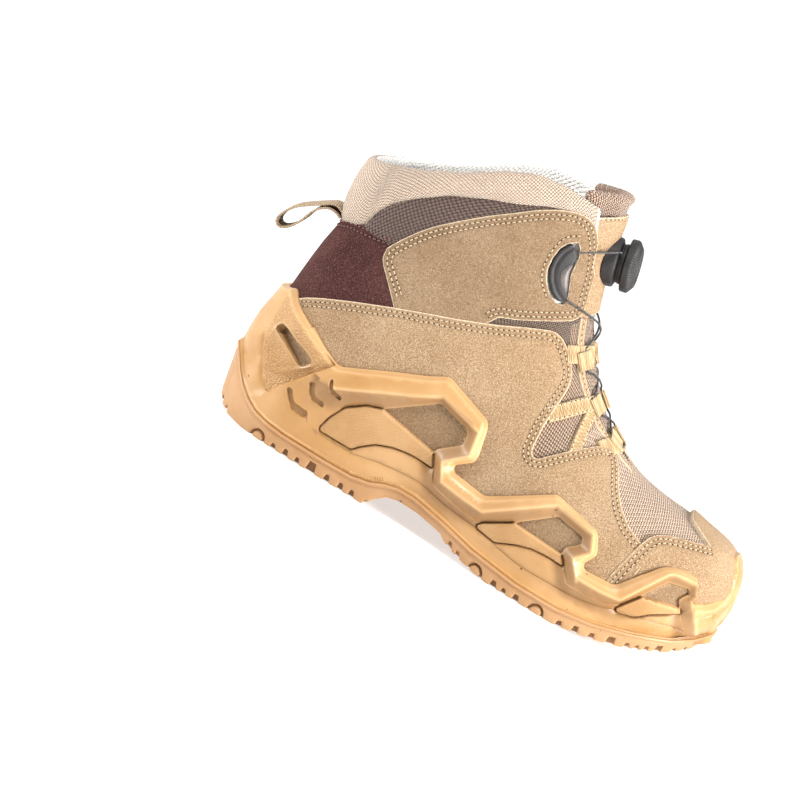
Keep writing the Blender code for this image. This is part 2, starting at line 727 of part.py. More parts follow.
def make_dial():
    base = turned("dial_base", (
        (0, BASE_THICK), (BASE_RADIUS - 2 * MM, BASE_THICK), (BASE_RADIUS - 2 * MM, BASE_THICK - 2 * MM),
        (BASE_RADIUS, BASE_THICK - 2 * MM), (BASE_RADIUS, -6 * MM), (0, -6 * MM),
    ), dial_matrix(0), BLACK)
    around = 0.15
    places = np.linspace(12, 24, 14)
    seat = patch("panel_space", places, lambda place: around, 21,
                 lambda place, off: panel_depth(place, off) - 12 * MM,
                 12 * MM + PANEL_THICK + GAP, None)
    boolean(base, seat, "DIFFERENCE")
    outer = KNOB_RADIUS
    turned("dial_knob", (
        (0, KNOB_THICK), (outer - 4 * MM, KNOB_THICK), (outer - 4 * MM + KNOB_BEVEL, KNOB_THICK - 0.6 * MM),
        (outer - KNOB_BEVEL, KNOB_THICK - 1.6 * MM), (outer, KNOB_THICK - 2.8 * MM), (outer, 0.6 * MM),
        (outer - 0.6 * MM, 0), (0, 0),
    ), dial_matrix(BASE_THICK + GAP), BLACK)


# ---- Crescent guides on the two ankle flaps.

GUIDE_OUTLINE = (
    (128, 177), (123.5, 172.5), (121.8, 166), (122.5, 159), (126, 151.5), (131, 147), (138.5, 146),
    (139.4, 153.5), (136.4, 159), (134, 166), (133.4, 172),
)
GUIDE_PROUD = 4 * MM


def side_shell(name, depth, thickness, paint, first, last, low, high, side):
    """Part of one side of the last as a thick skin, for cutting to an outline."""
    places = np.linspace(first, last, 11)
    rows = []
    for place in places:
        around = np.linspace(low, high, 11)
        around = around if side < 0 else 1 - around
        level = np.full(around.shape, float(place))
        rows.append(last_offset(level, around, np.full(around.shape, depth)))
    points = np.array(rows).reshape(-1, 3)
    made = mesh_object(name, points, grid_faces(len(places), 11), paint)
    face = made.data.polygons[len(made.data.polygons) // 2]
    if face.normal.y * side < 0:
        made.data.flip_normals()
    solidify(made, thickness, 1)
    return made


def make_guides():
    for side, word in ((-1, "outer"), (1, "inner")):
        guide = side_shell(f"guide_{word}", GAP, GUIDE_PROUD, BLACK, 12, 23, 0.2, 0.47, side)
        boolean(guide, side_prism(f"guide_outline_{word}", [GUIDE_OUTLINE]), "INTERSECT")


# ---- Webbing: straps, lace loops and pull loop.

STRAP_OUTLINE = (
    (166, 102), (166, 88), (179, 100), (181.8, 82), (190, 86), (186.5, 98), (178.5, 103), (171, 106.6),
)
STRAP_THICK = 1.3 * MM
STRAP_GAP = 0.6 * MM
LOOP_PLACES = (11.35, 10.0, 8.95)
LOOP_REACH = (2.8, 2.8, 2.4)
LOOP_LONG = 11 * MM
LOOP_ACROSS = 10 * MM
LOOP_HIGH = 3.0 * MM
LOOP_WALL = 0.8 * MM
LOOP_STAND = 0.5 * MM


def place_from_side(x, z, side):
    """The place and turn round the last of a point drawn in the side view, in millimetres."""
    point = np.array((x, z)) * MM

    def beyond(place):
        m = section(place)
        run = np.array((m["over_x"] - m["under_x"], m["over_z"] - m["under_z"]))
        away = point - np.array((m["under_x"], m["under_z"]))
        return away[1] * run[0] - away[0] * run[1]

    low, high = 0.3, float(LAST_ROW)
    for _ in range(40):
        middle = (low + high) / 2
        low, high = (middle, high) if beyond(middle) > 0 else (low, middle)
    m = section(low)
    start = np.array((m["under_x"], m["under_z"]))
    run = np.array((m["over_x"], m["over_z"])) - start
    share = float(np.dot(point - start, run) / np.dot(run, run))
    base = math.sin(m["tuck"]) ** (2 / m["fullness"])
    up = share * (1 + base) - base
    angle = math.asin(math.copysign(min(abs(up), 1) ** (m["fullness"] / 2), up))
    around = (angle + m["tuck"]) / (math.pi + 2 * m["tuck"])
    return low, around if side < 0 else 1 - around


def make_straps():
    for side, word in ((-1, "outer"), (1, "inner")):
        strap = side_shell(f"strap_{word}", STRAP_GAP, STRAP_THICK, WEBBING, 8.2, 12.5, 0.12, 0.47, side)
        boolean(strap, side_prism(f"strap_outline_{word}", [STRAP_OUTLINE]), "INTERSECT")


def throat_frame(place, side, reach):
    """A loop's place on the throat's edge: its middle, and its directions along, across and out."""
    edge = float(throat_around(place)) + reach * MM / girth(place)
    ahead = float(throat_around(place + 0.05))
    behind = float(throat_around(place - 0.05))
    turn = (lambda around: around) if side < 0 else (lambda around: 1 - around)
    middle = Vector(last_point(np.array(place), np.array(turn(edge))))
    out = Vector(last_normal(np.array(place), np.array(turn(edge))))
    along = Vector(last_point(np.array(place + 0.05), np.array(turn(ahead))))
    along -= Vector(last_point(np.array(place - 0.05), np.array(turn(behind))))
    along = (along - along.dot(out) * out).normalized()
    return middle, along, out.cross(along), out


def loop_ring():
    """The rounded outline of a lace loop's fold, across and up."""
    half = LOOP_ACROSS / 2 - LOOP_HIGH / 2
    ring = []
    for end, start in ((1, -90), (-1, 90)):
        for step in range(5):
            turn = math.radians(start + 45 * step)
            ring.append((end * half + math.cos(turn) * LOOP_HIGH / 2, math.sin(turn) * LOOP_HIGH / 2))
    return ring


def make_loops():
    for side, word in ((-1, "outer"), (1, "inner")):
        for index, (place, reach) in enumerate(zip(LOOP_PLACES, LOOP_REACH)):
            middle, along, across, out = throat_frame(place, side, reach)
            middle += out * (LOOP_STAND + LOOP_HIGH / 2)
            ring = loop_ring()
            points = []
            for end in (-0.5, 0.5):
                points += [middle + along * LOOP_LONG * end + across * a + out * h for a, h in ring]
            count = len(ring)
            faces = [(i, (i + 1) % count, count + (i + 1) % count, count + i) for i in range(count)]
            loop = mesh_object(f"lace_loop_{word}_{index + 1}", points, faces, WEBBING)
            face = loop.data.polygons[0]
            if face.normal.dot(face.center - middle) < 0:
                loop.data.flip_normals()
            solidify(loop, LOOP_WALL, -1)


PULL_OUTER = (
    (19, 125), (12.6, 125.4), (9.8, 127.2), (5.6, 127.2), (1.2, 124.2), (-4.5, 120), (-11, 114.8),
    (-15.6, 108.8), (-17.2, 103.4), (-15.6, 99.8), (-11.4, 99.4), (-7, 103.2), (-3.6, 109), (-1.6, 114.8),
    (1.5, 118.8), (6.3, 122.8), (8.4, 123), (10.2, 121.8), (12.2, 119.6), (19, 119),
)
PULL_HOLE = (
    (-0.8, 119), (-5.4, 117), (-10.8, 112.6), (-14.3, 107.2), (-15.4, 103.2), (-14, 101.2),
    (-12, 101.3), (-8.4, 104.4), (-5.2, 109.8), (-3, 115.6),
)
PULL_WIDE = 20 * MM


def make_pull_loop():
    loop = side_prism("pull_loop", [PULL_OUTER, PULL_HOLE], -PULL_WIDE / 2, PULL_WIDE / 2)
    for collection in list(loop.users_collection):
        collection.objects.unlink(loop)
    boot_collection.objects.link(loop)
    loop.hide_render = False
    loop.display_type = "TEXTURED"
    loop.data.materials.append(WEBBING)
    boolean(loop, heel_space(), "DIFFERENCE")


def heel_space():
    """The back of the shaft, grown by the gap, for cutting what is sewn on there."""
    places = np.linspace(19, 25.5, 14)
    around = np.concatenate((np.linspace(-0.22, 0, 9), np.linspace(0, 0.22, 9)[1:]))
    rows = []
    for place in places:
        level = np.full(around.shape, float(place))
        rows.append(last_offset(level, around % 1, np.full(around.shape, 2 * GAP)))
    points = np.array(rows).reshape(-1, 3)
    points[8::17, 1] = 0
    made = mesh_object("heel_space", points, grid_faces(len(places), 17))
    if made.data.polygons[len(made.data.polygons) // 2].normal.x > 0:
        made.data.flip_normals()
    solidify(made, 12 * MM, -1)
    return made


# ---- Lace: a thin wire from the dial through the guides, crossed over the tongue to the lowest loops.

WIRE_RADIUS = 0.6 * MM
WIRE_OVER_LOOP = LOOP_STAND + LOOP_HIGH / 2
WIRE_OVER_TONGUE = WIRE_RADIUS + 0.5 * MM
WIRE_END = 1.6 * MM
GUIDE_TOP_EXIT = (134.4, 174.5)
GUIDE_LOW_EXIT = (141.2, 147.5)
DIAL_ENTRY_TURN = math.radians(32)
DIAL_ENTRY_OUT = 2.2 * MM


def tube(name, points, paint):
    curve = bpy.data.curves.new(name, "CURVE")
    curve.dimensions = "3D"
    curve.bevel_depth = WIRE_RADIUS
    curve.bevel_resolution = 1
    curve.use_fill_caps = True
    spline = curve.splines.new("POLY")
    spline.points.add(len(points) - 1)
    for point, place in zip(spline.points, points):
        point.co = (*place, 1)
    return curve_to_mesh(bpy.data.objects.new(name, curve), paint)


def wire_floor(place, around):
    """The lowest a wire can lie: just over the tongue, its panel, or the upper's edge."""
    cover = tongue_depth(place, np.array(around))
    if place > PANEL_PLACES[0] - 0.5:
        cover = panel_depth(place, np.array(around)) + PANEL_THICK
    if abs(around - 0.5) > 0.46 - float(throat_around(place)):
        cover = max(cover, 0)
    return float(cover) + WIRE_OVER_TONGUE


def span_points(start, end, count=11):
    """A wire's run over the tongue between two ends given as (place, around, height)."""
    points = []
    for share in np.linspace(0, 1, count):
        place = start[0] + (end[0] - start[0]) * share
        around = start[1] + (end[1] - start[1]) * share
        over = 4 * share * (1 - share)
        base = wire_floor(place, around)
        over = min(1, 1.6 * over)
        ends = start[2] + (end[2] - start[2]) * share
        height = max(ends * (1 - over) + base * over, base)
        points.append(last_offset(np.array(place), np.array(around), np.array(height)))
    return points


def loop_end(index, side, end):
    """Just beyond one end of a lace loop, as (place, around, height)."""
    place = LOOP_PLACES[index]
    reach = LOOP_REACH[index] * MM
    ahead = last_point(np.array(place + 0.05), throat_around(place + 0.05))
    behind = last_point(np.array(place - 0.05), throat_around(place - 0.05))
    rows_per_metre = 0.1 / np.linalg.norm(ahead - behind)
    place += end * (LOOP_LONG / 2 + WIRE_END) * rows_per_metre
    around = float(throat_around(place)) + reach / girth(place)
    return place, around if side < 0 else 1 - around, WIRE_OVER_LOOP


def join(target, other):
    """Two crossing runs made one solid."""
    boolean(target, other, "UNION")


def make_lace():
    for index in range(3):
        runs = []
        for side in (-1, 1):
            if index == 0:
                place, around = place_from_side(*GUIDE_LOW_EXIT, side)
                start = (place, around, 2.2 * MM)
            else:
                start = loop_end(index - 1, side, -1)
            runs.append(span_points(start, loop_end(index, -side, 1)))
        crossing = tube(f"lace_crossing_{index + 1}", runs[0], WIRE)
        join(crossing, tube(f"lace_run_{index + 1}", runs[1], None))
    bar = span_points(loop_end(2, -1, -1), loop_end(2, 1, -1), 9)
    tube("lace_bar", bar, WIRE)
    for side, word in ((-1, "outer"), (1, "inner")):
        place, around = place_from_side(*GUIDE_TOP_EXIT, side)
        start = Vector(last_offset(np.array(place), np.array(around), np.array(2.6 * MM)))
        rim = BASE_RADIUS + WIRE_END
        across = side * math.cos(DIAL_ENTRY_TURN) * rim
        up = math.sin(DIAL_ENTRY_TURN) * rim
        end = dial_matrix(DIAL_ENTRY_OUT) @ Vector((-up, across, 0))
        tube(f"lace_dial_{word}", [start, start.lerp(end, 0.5), end], WIRE)


make_upper()
make_cage()
make_outsole()
make_insole()
make_tongue()
make_tongue_panel()
make_dial()
make_guides()
make_straps()
make_loops()
make_pull_loop()
make_lace()
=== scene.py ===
import math
import bmesh
import bpy
import numpy as np
from mathutils import Matrix, Vector
from mathutils.geometry import delaunay_2d_cdt
from mathutils.kdtree import KDTree


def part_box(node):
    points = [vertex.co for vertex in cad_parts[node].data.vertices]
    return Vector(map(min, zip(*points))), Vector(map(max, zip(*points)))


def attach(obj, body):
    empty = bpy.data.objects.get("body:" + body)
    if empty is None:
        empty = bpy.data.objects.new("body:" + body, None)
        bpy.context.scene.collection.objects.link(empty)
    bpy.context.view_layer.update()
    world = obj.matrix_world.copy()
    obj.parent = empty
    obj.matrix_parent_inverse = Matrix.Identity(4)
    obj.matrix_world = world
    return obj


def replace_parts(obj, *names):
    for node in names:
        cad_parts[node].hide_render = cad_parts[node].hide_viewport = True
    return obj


# Safety boot, right foot. Shapes are worked out in boot millimetres: x from the back of the heel
# to the toe, y to the inner side, z up from the floor. toFrame() carries them into the frame.
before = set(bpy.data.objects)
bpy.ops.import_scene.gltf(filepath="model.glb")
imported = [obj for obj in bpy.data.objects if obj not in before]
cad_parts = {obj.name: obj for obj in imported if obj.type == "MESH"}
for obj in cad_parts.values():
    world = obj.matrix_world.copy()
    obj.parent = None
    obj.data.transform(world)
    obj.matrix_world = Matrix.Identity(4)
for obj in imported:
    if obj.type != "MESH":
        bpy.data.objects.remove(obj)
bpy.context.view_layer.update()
rng = np.random.default_rng(7)
mm = 0.001

loopLow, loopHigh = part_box("pull_loop")
heelBehind = 17.2  # the pull loop reaches this far behind the back of the heel
frameShift = np.array((loopLow[0] + heelBehind * mm, (loopLow[1] + loopHigh[1]) / 2, 0))


def toFrame(points):
    return np.asarray(points, float) * mm + frameShift


sides = ((-1, "outer"), (1, "inner"))


def pair(*columns):
    return np.stack(columns, axis=-1)


def size(vectors):
    return np.linalg.norm(vectors, axis=-1)


def unit(vectors):
    return vectors / np.maximum(np.linalg.norm(vectors, axis=-1, keepdims=True), 1e-9)


def runOf(points):  # the length from the first point to each
    return np.concatenate(((0,), np.cumsum(size(np.diff(points, axis=0)))))


def bell(away, wide):
    return np.exp(-((away / wide) ** 2))


def softStep(values, low, high):
    share = np.clip((values - low) / (high - low), 0, 1)
    return share * share * (3 - 2 * share)


def addToScene(name, data):
    made = bpy.data.objects.new(name, data)
    bpy.context.scene.collection.objects.link(made)
    return made


def link(tree, target, value):
    if isinstance(value, bpy.types.NodeSocket):
        tree.links.new(value, target)
    elif isinstance(value, (tuple, list)) and len(value) == 3 and target.type == "RGBA":
        target.default_value = (*value, 1)
    else:
        target.default_value = value


def addNode(tree, kind, settings=None, **inputs):
    made = tree.nodes.new("ShaderNode" + kind)
    for key, value in (settings or {}).items():
        setattr(made, key, value)
    for key, value in inputs.items():
        link(tree, made.inputs[int(key[1:]) if key[0] == "i" and key[1:].isdigit() else key], value)
    return made


def calc(tree, operation, *values):
    made = addNode(tree, "Math", {"operation": operation})
    for index, value in enumerate(values):
        link(tree, made.inputs[index], value)
    return made.outputs[0]


def times(tree, *values):
    return calc(tree, "MULTIPLY", *values)


def plus(tree, *values):
    return calc(tree, "ADD", *values)


def mix(tree, share, first, second):
    made = addNode(tree, "Mix", {"data_type": "RGBA", "blend_type": "MIX", "clamp_factor": True})
    for index, value in ((0, share), (6, first), (7, second)):
        link(tree, made.inputs[index], value)
    return made.outputs[2]


def spread(tree, value, low, high, start=0.0, end=1.0):
    made = addNode(tree, "MapRange", {"clamp": True})
    for index, item in enumerate((value, low, high, start, end)):
        link(tree, made.inputs[index], item)
    return made.outputs[0]


def attribute(tree, name, output="Fac"):
    return addNode(tree, "Attribute", {"attribute_name": name}).outputs[output]


def noise(tree, scale, detail=3.0, roughness=0.55, vector=None, output=0):
    vector = vector or addNode(tree, "TexCoord").outputs["Object"]
    made = addNode(tree, "TexNoise", Vector=vector, Scale=scale, Detail=detail, Roughness=roughness)
    return made.outputs[output]


def newMaterial(name, finish, **constants):
    made = bpy.data.materials.new(name)
    made.use_nodes = True
    shader = made.node_tree.nodes["Principled BSDF"]
    for key, value in constants.items():
        link(made.node_tree, shader.inputs[key.replace("_", " ")], value)
    return made, made.node_tree, shader.inputs


cameraSettings = {
    "azimuth": 4.0, "elevation": 10.0, "roll": 30.31, "distance": 4000.0, "lens": 336.9, "sensor": 36,
    "centre": (150.0, 0.0, 90.0), "aimRight": -60.9, "aimUp": -37.3, "farthest": 100,
}


def cameraAxes(azimuth, elevation):
    right = np.array((math.cos(azimuth), math.sin(azimuth), 0))
    level = math.cos(elevation)
    forward = np.array((-math.sin(azimuth) * level, math.cos(azimuth) * level, -math.sin(elevation)))
    return right, np.cross(right, forward), forward


viewAngles = [math.radians(cameraSettings[key]) for key in ("azimuth", "elevation")]
viewRight, viewUp, viewForward = cameraAxes(*viewAngles)
viewCentre = np.array(cameraSettings["centre"])


def addCamera(settings):
    data = bpy.data.cameras.new("camera")
    data.lens, data.sensor_width, data.clip_end = (settings[key] for key in ("lens", "sensor", "farthest"))
    camera = addToScene("camera", data)
    roll = math.radians(settings["roll"])
    right = math.cos(roll) * viewRight + math.sin(roll) * viewUp
    up = math.cos(roll) * viewUp - math.sin(roll) * viewRight
    aim = viewCentre + settings["aimRight"] * viewRight + settings["aimUp"] * viewUp
    place = Matrix.Translation(toFrame(aim - settings["distance"] * viewForward))
    camera.matrix_world = place @ Matrix((right, up, -viewForward)).transposed().to_4x4()
    bpy.context.scene.camera = camera


# the studio is bright above, behind and at the sides, and dim behind the camera
lightSettings = {
    "world": (1.0, 1.0, 1.0), "brightWay": (-0.1, 0.75, 0.65), "brightSpan": (-0.4, 0.9),
    "brightness": (0.0, 1.05),
    # name: (direction from the boot, distance, size, strength)
    "lamps": {
        "over": ((-0.25, -0.55, 0.9), 2.2, 0.35, 24.0),
        "front": ((0.9, -0.4, 0.35), 1.5, 0.9, 52.0),
        "heel": ((-1.0, -0.25, 0.3), 1.0, 0.5, 8.5),
    },
    "lampColour": (1.0, 0.985, 0.96), "floorColour": (0.55, 0.55, 0.552), "floorGlow": 0.6, "floorSize": 60.0,
}


def addLights(settings):
    world = bpy.data.worlds.new("studio")
    world.use_nodes = True
    tree = world.node_tree
    background = tree.nodes["Background"].inputs
    link(tree, background["Color"], settings["world"])
    way = addNode(tree, "TexCoord").outputs["Generated"]
    toBright = addNode(tree, "VectorMath", {"operation": "DOT_PRODUCT"}, i0=way, i1=settings["brightWay"])
    level = spread(tree, toBright.outputs["Value"], *settings["brightSpan"], *settings["brightness"])
    link(tree, background["Strength"], level)
    bpy.context.scene.world = world
    for name, (direction, distance, wide, strength) in settings["lamps"].items():
        data = bpy.data.lights.new("light_" + name, "AREA")
        data.shape, data.size, data.energy, data.color = "DISK", wide, strength, settings["lampColour"]
        away = Vector(direction).normalized()
        turn = away.to_track_quat("Z", "Y").to_matrix().to_4x4()
        addToScene("light_" + name, data).matrix_world = Matrix.Translation(away * distance) @ turn


def addFloor(settings):
    half = settings["floorSize"] / 2
    mesh = bpy.data.meshes.new("floor")
    mesh.from_pydata([(x, y, 0) for x, y in ((-half, -half), (half, -half), (half, half), (-half, half))],
        [], [(0, 1, 2, 3)])
    floor = addToScene("floor", mesh)
    # the paper is lit from below
    paper, _, _ = newMaterial("floor_paper", None, Base_Color=settings["floorColour"], Roughness=0.9,
        Emission_Color=(1, 1, 1), Emission_Strength=settings["floorGlow"], Specular_IOR_Level=0.1)
    mesh.materials.append(paper)


addCamera(cameraSettings)
addLights(lightSettings)
addFloor(lightSettings)
bpy.context.scene.view_settings.view_transform = "Standard"
print("camera, light and floor ready")

# the last: one row for each plane across it, from the toe back under the foot and up the heel
sectionNames = (
    "underX", "underZ", "overX", "overZ", "midY",
    "feather", "widest", "ridgeY", "fullness", "throat", "flangeOut", "floorOut",
)
sectionRows = np.array((
    (291.5, 33.0, 291.7, 34.0, 7.0, 0.0, 0.3, 7.0, 2.20, 0.0, 6.9, 2.2),
    (289.6, 32.0, 293.0, 44.5, 6.8, 11.5, 12.5, 7.0, 2.30, 0.0, 7.0, 2.6),
    (285.2, 30.0, 293.0, 56.0, 6.4, 21.0, 22.5, 7.0, 2.40, 0.0, 7.2, 3.4),
    (278.5, 27.0, 289.8, 65.5, 5.8, 29.5, 31.5, 6.8, 2.45, 0.0, 7.5, 4.4),
    (268.8, 23.5, 283.0, 72.5, 5.0, 37.0, 39.5, 6.5, 2.45, 0.0, 7.8, 5.4),
    (255.0, 20.0, 270.0, 76.0, 3.8, 42.5, 45.5, 6.0, 2.40, 0.0, 8.0, 6.2),
    (238.0, 18.0, 251.0, 77.8, 2.4, 46.5, 49.5, 5.5, 2.30, 0.0, 8.2, 6.8),
    (219.0, 16.8, 233.0, 79.8, 1.0, 48.5, 51.0, 5.0, 2.20, 0.0, 8.2, 7.0),
    (198.0, 16.0, 215.8, 84.2, 0.0, 47.5, 50.5, 4.5, 2.10, 0.0, 8.0, 6.8),
    (175.0, 17.0, 198.0, 93.6, -1.0, 44.0, 48.0, 4.0, 2.00, 11.0, 7.8, 6.2),
    (150.0, 19.0, 182.0, 107.2, -1.8, 39.5, 44.0, 3.2, 1.92, 14.0, 7.5, 5.6),
    (122.0, 22.0, 169.4, 122.9, -1.6, 36.0, 40.5, 2.4, 1.92, 15.5, 7.4, 5.4),
    (92.0, 25.0, 161.2, 136.5, -0.8, 34.5, 38.5, 1.6, 1.98, 16.0, 7.4, 5.6),
    (62.0, 27.0, 156.4, 148.6, 0.0, 34.0, 37.8, 0.8, 2.05, 16.3, 7.5, 6.0),
    (38.0, 28.0, 153.3, 158.5, 0.0, 31.0, 37.0, 0.2, 2.12, 16.8, 7.6, 5.6),
    (21.0, 30.0, 150.8, 166.0, 0.0, 22.0, 36.5, 0.0, 2.18, 17.4, 8.2, 5.2),
    (11.5, 34.0, 149.2, 172.0, 0.0, 10.0, 36.0, 0.0, 2.22, 18.0, 9.0, 4.8),
    (8.3, 42.0, 148.3, 177.0, 0.0, 0.0, 35.5, 0.0, 2.25, 18.6, 9.6, 4.6),
    (7.5, 55.0, 147.7, 181.0, 0.0, 0.0, 35.0, 0.0, 2.25, 19.2, 9.6, 4.6),
    (7.8, 69.0, 147.2, 184.5, 0.0, 0.0, 34.8, 0.0, 2.25, 19.8, 9.6, 4.6),
    (9.0, 85.0, 146.8, 188.0, 0.0, 0.0, 34.8, 0.0, 2.25, 20.4, 9.6, 4.6),
    (11.0, 103.0, 146.3, 191.5, 0.0, 0.0, 35.0, 0.0, 2.25, 21.2, 9.6, 4.6),
    (13.6, 119.0, 145.8, 195.0, 0.0, 0.0, 35.6, 0.0, 2.25, 22.0, 9.6, 4.6),
    (12.4, 134.0, 145.0, 199.0, 0.0, 0.0, 36.4, 0.0, 2.25, 23.0, 9.6, 4.6),
    (11.2, 150.0, 144.0, 204.5, 0.0, 0.0, 37.0, 0.0, 2.25, 24.0, 9.6, 4.6),
    (12.2, 167.0, 142.0, 212.0, 0.0, 0.0, 37.0, 0.0, 2.25, 25.0, 9.6, 4.6),
    (14.0, 186.0, 139.0, 224.0, 0.0, 0.0, 36.5, 0.0, 2.25, 26.0, 9.6, 4.6),
))
throatRow = 8
heelRow = 17
lastRow = len(sectionRows) - 1
flangeLine = {
    "x": (-12, 0, 3, 8, 14, 20, 27, 36, 47, 75, 90, 100, 107, 115, 125, 145, 165, 195, 220, 240,
          260, 280, 290, 300, 312),
    "z": (40, 33.5, 31, 25.5, 20, 15.5, 12.3, 10.6, 9.8, 9.8, 10.3, 12.5, 15.8, 18, 18.2, 15.2, 11.2,
          8.4, 8.6, 10.8, 15.4, 21.3, 26, 33, 41),
}
cageProud = {
    "place": (0, 1, 2, 3, 4, 5, 6, 7, 15, 16, 17, 18, 19, 20, 21),
    "over": (5.6, 5.4, 3.6, 3.0, 2.6, 3.4, 6, 7, 7, 7.6, 9, 7.8, 5.4, 4, 3.4),
    "side": (5.6, 5.6, 5.6, 6, 6.6, 7, 7, 7, 7, 7.6, 9, 7.8, 5.4, 4, 3.4),
}


# Catmull-Rom through the table's rows: every column at once
def section(place):
    place = np.clip(np.asarray(place, float), 0, lastRow)
    row = np.minimum(place.astype(int), lastRow - 1)
    step = (place - row)[..., None]
    before, here = sectionRows[np.maximum(row - 1, 0)], sectionRows[row]
    after, beyond = sectionRows[row + 1], sectionRows[np.minimum(row + 2, lastRow)]
    rows = (
        (2 * step**3 - 3 * step**2 + 1) * here
        + (step**3 - 2 * step**2 + step) * (after - before) / 2
        + (3 * step**2 - 2 * step**3) * after
        + (step**3 - step**2) * (beyond - here) / 2
    )
    m = dict(zip(sectionNames, np.moveaxis(rows, -1, 0)))
    m["feather"] = np.where(place >= heelRow, 0, np.maximum(m["feather"], 0))
    m["throat"] = np.where(place <= throatRow, 0, np.maximum(m["throat"], 0))
    m["tuck"] = np.arccos(np.clip(m["feather"] / m["widest"], 0, 1) ** (m["fullness"] / 2))
    return m


# turn runs from 0 at the outer feather edge over the foot to 1 at the inner one
def lastPoint(place, turn):
    m = section(place)
    angle = -m["tuck"] + turn * (math.pi + 2 * m["tuck"])
    power = 2 / m["fullness"]
    out = np.sign(np.cos(angle)) * np.abs(np.cos(angle)) ** power
    up = np.sign(np.sin(angle)) * np.abs(np.sin(angle)) ** power
    low = np.abs(np.sin(m["tuck"])) ** power
    share = (up + low) / (1 + low)
    middle = m["midY"] + (m["ridgeY"] - m["midY"]) * np.maximum(up, 0) ** 2
    return pair(m["underX"] + (m["overX"] - m["underX"]) * share,
        middle - m["widest"] * out,
        m["underZ"] + (m["overZ"] - m["underZ"]) * share)


def lastNormal(place, turn):
    step = 1e-3
    ahead = np.clip(1 - np.asarray(place, float), 0, 1)[..., None]
    place = np.clip(place, 1, lastRow - 0.02)
    turn = np.clip(turn, step, 1 - step)
    along = lastPoint(place + step, turn) - lastPoint(place - step, turn)
    across = lastPoint(place, turn + step) - lastPoint(place, turn - step)
    return unit(unit(np.cross(across, along)) * (1 - ahead) + np.array((1.0, 0, 0)) * ahead)


def lastAt(place, turn, depth):
    return lastPoint(place, turn) + lastNormal(place, turn) * np.asarray(depth, float)[..., None]


def throatTurn(place):
    m = section(place)
    angle = np.arccos(np.clip(m["throat"] / m["widest"], 0, 1) ** (m["fullness"] / 2))
    return (angle + m["tuck"]) / (math.pi + 2 * m["tuck"])


placeSteps = np.linspace(0, lastRow, 521)
turnSteps = np.linspace(0, 1, 81)
lastGrid = lastPoint(placeSteps[:, None], turnSteps[None, :])
girths = size(np.diff(lastGrid, axis=1)).sum(axis=1)
alongSteps = runOf(0.6 * lastGrid[:, 10] + 0.4 * lastGrid[:, 28])


def girth(place):
    return np.interp(place, placeSteps, girths)


# the chart laid flat, in millimetres, and back
def flatOf(chart):
    place, turn = chart[..., 0], chart[..., 1]
    return pair(np.interp(place, placeSteps, alongSteps), (turn - 0.5) * girth(place))


def chartAt(flat):
    place = np.interp(flat[..., 0], alongSteps, placeSteps)
    return pair(place, flat[..., 1] / np.maximum(girth(place), 1e-3) + 0.5)


def flatData(chart):  # the same as a vector for the weave, in metres
    return pair(*np.moveaxis(flatOf(chart), -1, 0), 0 * chart[..., 0]) * mm


def featherOutline(place, spread, side):
    step = 0.02
    ends = []
    for shift in (-step, step):
        m = section(np.clip(place + shift, 0, heelRow))
        ends.append(pair(m["underX"], m["midY"] + side * m["feather"]))
    normal = unit(ends[1] - ends[0])
    normal = pair(normal[..., 1], -normal[..., 0]) * side
    m = section(place)
    middle = pair(m["underX"], m["midY"] + side * m["feather"])
    moved = middle + normal * np.asarray(spread)[..., None]
    # at both ends of the sole the outline closes on its middle
    for end, way in ((0, 1), (heelRow, -1)):
        tip = pair(section(end)["underX"] + way * spread, 0 * spread + section(end)["midY"])
        near = np.clip(1 - np.abs(place - end) / 0.35, 0, 1)[..., None]
        moved = moved * (1 - near) + tip * near
    return moved


def soleRing(place, side, key="flangeOut", line=flangeLine, proud=0.0):
    level = np.minimum(place, heelRow)
    ring = featherOutline(level, section(level)[key] + proud, side)
    return np.concatenate((ring, np.interp(ring[..., 0], line["x"], line["z"])[..., None]), axis=-1)


# A form is a surface over the chart, given as point(place, turn) on the outer half.
skins = {}


def skinForm(depth):
    if depth not in skins:
        skins[depth] = lambda place, turn: lastAt(place, turn, np.full(np.shape(turn), float(depth)))
    return skins[depth]


def cageDepth(place, turn):
    over, side = (np.interp(place, cageProud["place"], cageProud[key]) for key in ("over", "side"))
    return over + (side - over) * np.clip((np.abs(turn - 0.5) - 0.2) / 0.15, 0, 1)


# The cage follows the last and runs on below the feather edge as a skirt down to the tread.
def cageForm(place, turn):
    place, turn = np.asarray(place, float), np.asarray(turn, float)
    up = np.maximum(turn, 0)
    arch = lastAt(place, up, cageDepth(place, up))
    run = soleRing(place, -1) - arch
    down = np.maximum(-turn, 0) * np.maximum(girth(place), 1) / np.maximum(size(run), 1e-3)
    return arch + run * down[..., None]


def skirtTurn(place):
    arch = cageForm(place, np.zeros(np.shape(place)))
    return -size(soleRing(place, -1) - arch) / np.maximum(girth(place), 1)


# point, the two tangents and the outward normal
def formFrame(form, chart):
    step = 2e-3
    place, turn = chart[..., 0], chart[..., 1]
    low, high = np.clip(place - step * 5, 0, lastRow), np.clip(place + step * 5, 0, lastRow)
    along = (form(high, turn) - form(low, turn)) / (high - low)[..., None]
    across = (form(place, turn + step) - form(place, turn - step)) / (2 * step)
    return form(place, turn), along, across, unit(np.cross(across, along))


# outlines are drawn in the side view and carried onto a form
sideView = {"x": 150.0, "z": 97.35, "turn": math.radians(0.69), "distance": 4000.0}


def viewOf(points):
    away = points - viewCentre
    share = sideView["distance"] / (sideView["distance"] + away @ viewForward)
    right, up = (away @ viewRight) * share, (away @ viewUp) * share
    c, s = math.cos(sideView["turn"]), math.sin(sideView["turn"])
    return pair(sideView["x"] + right * c - up * s, sideView["z"] + up * c + right * s)


def spot(point):
    return tuple(point) if len(point) == 3 else (*point, 0)


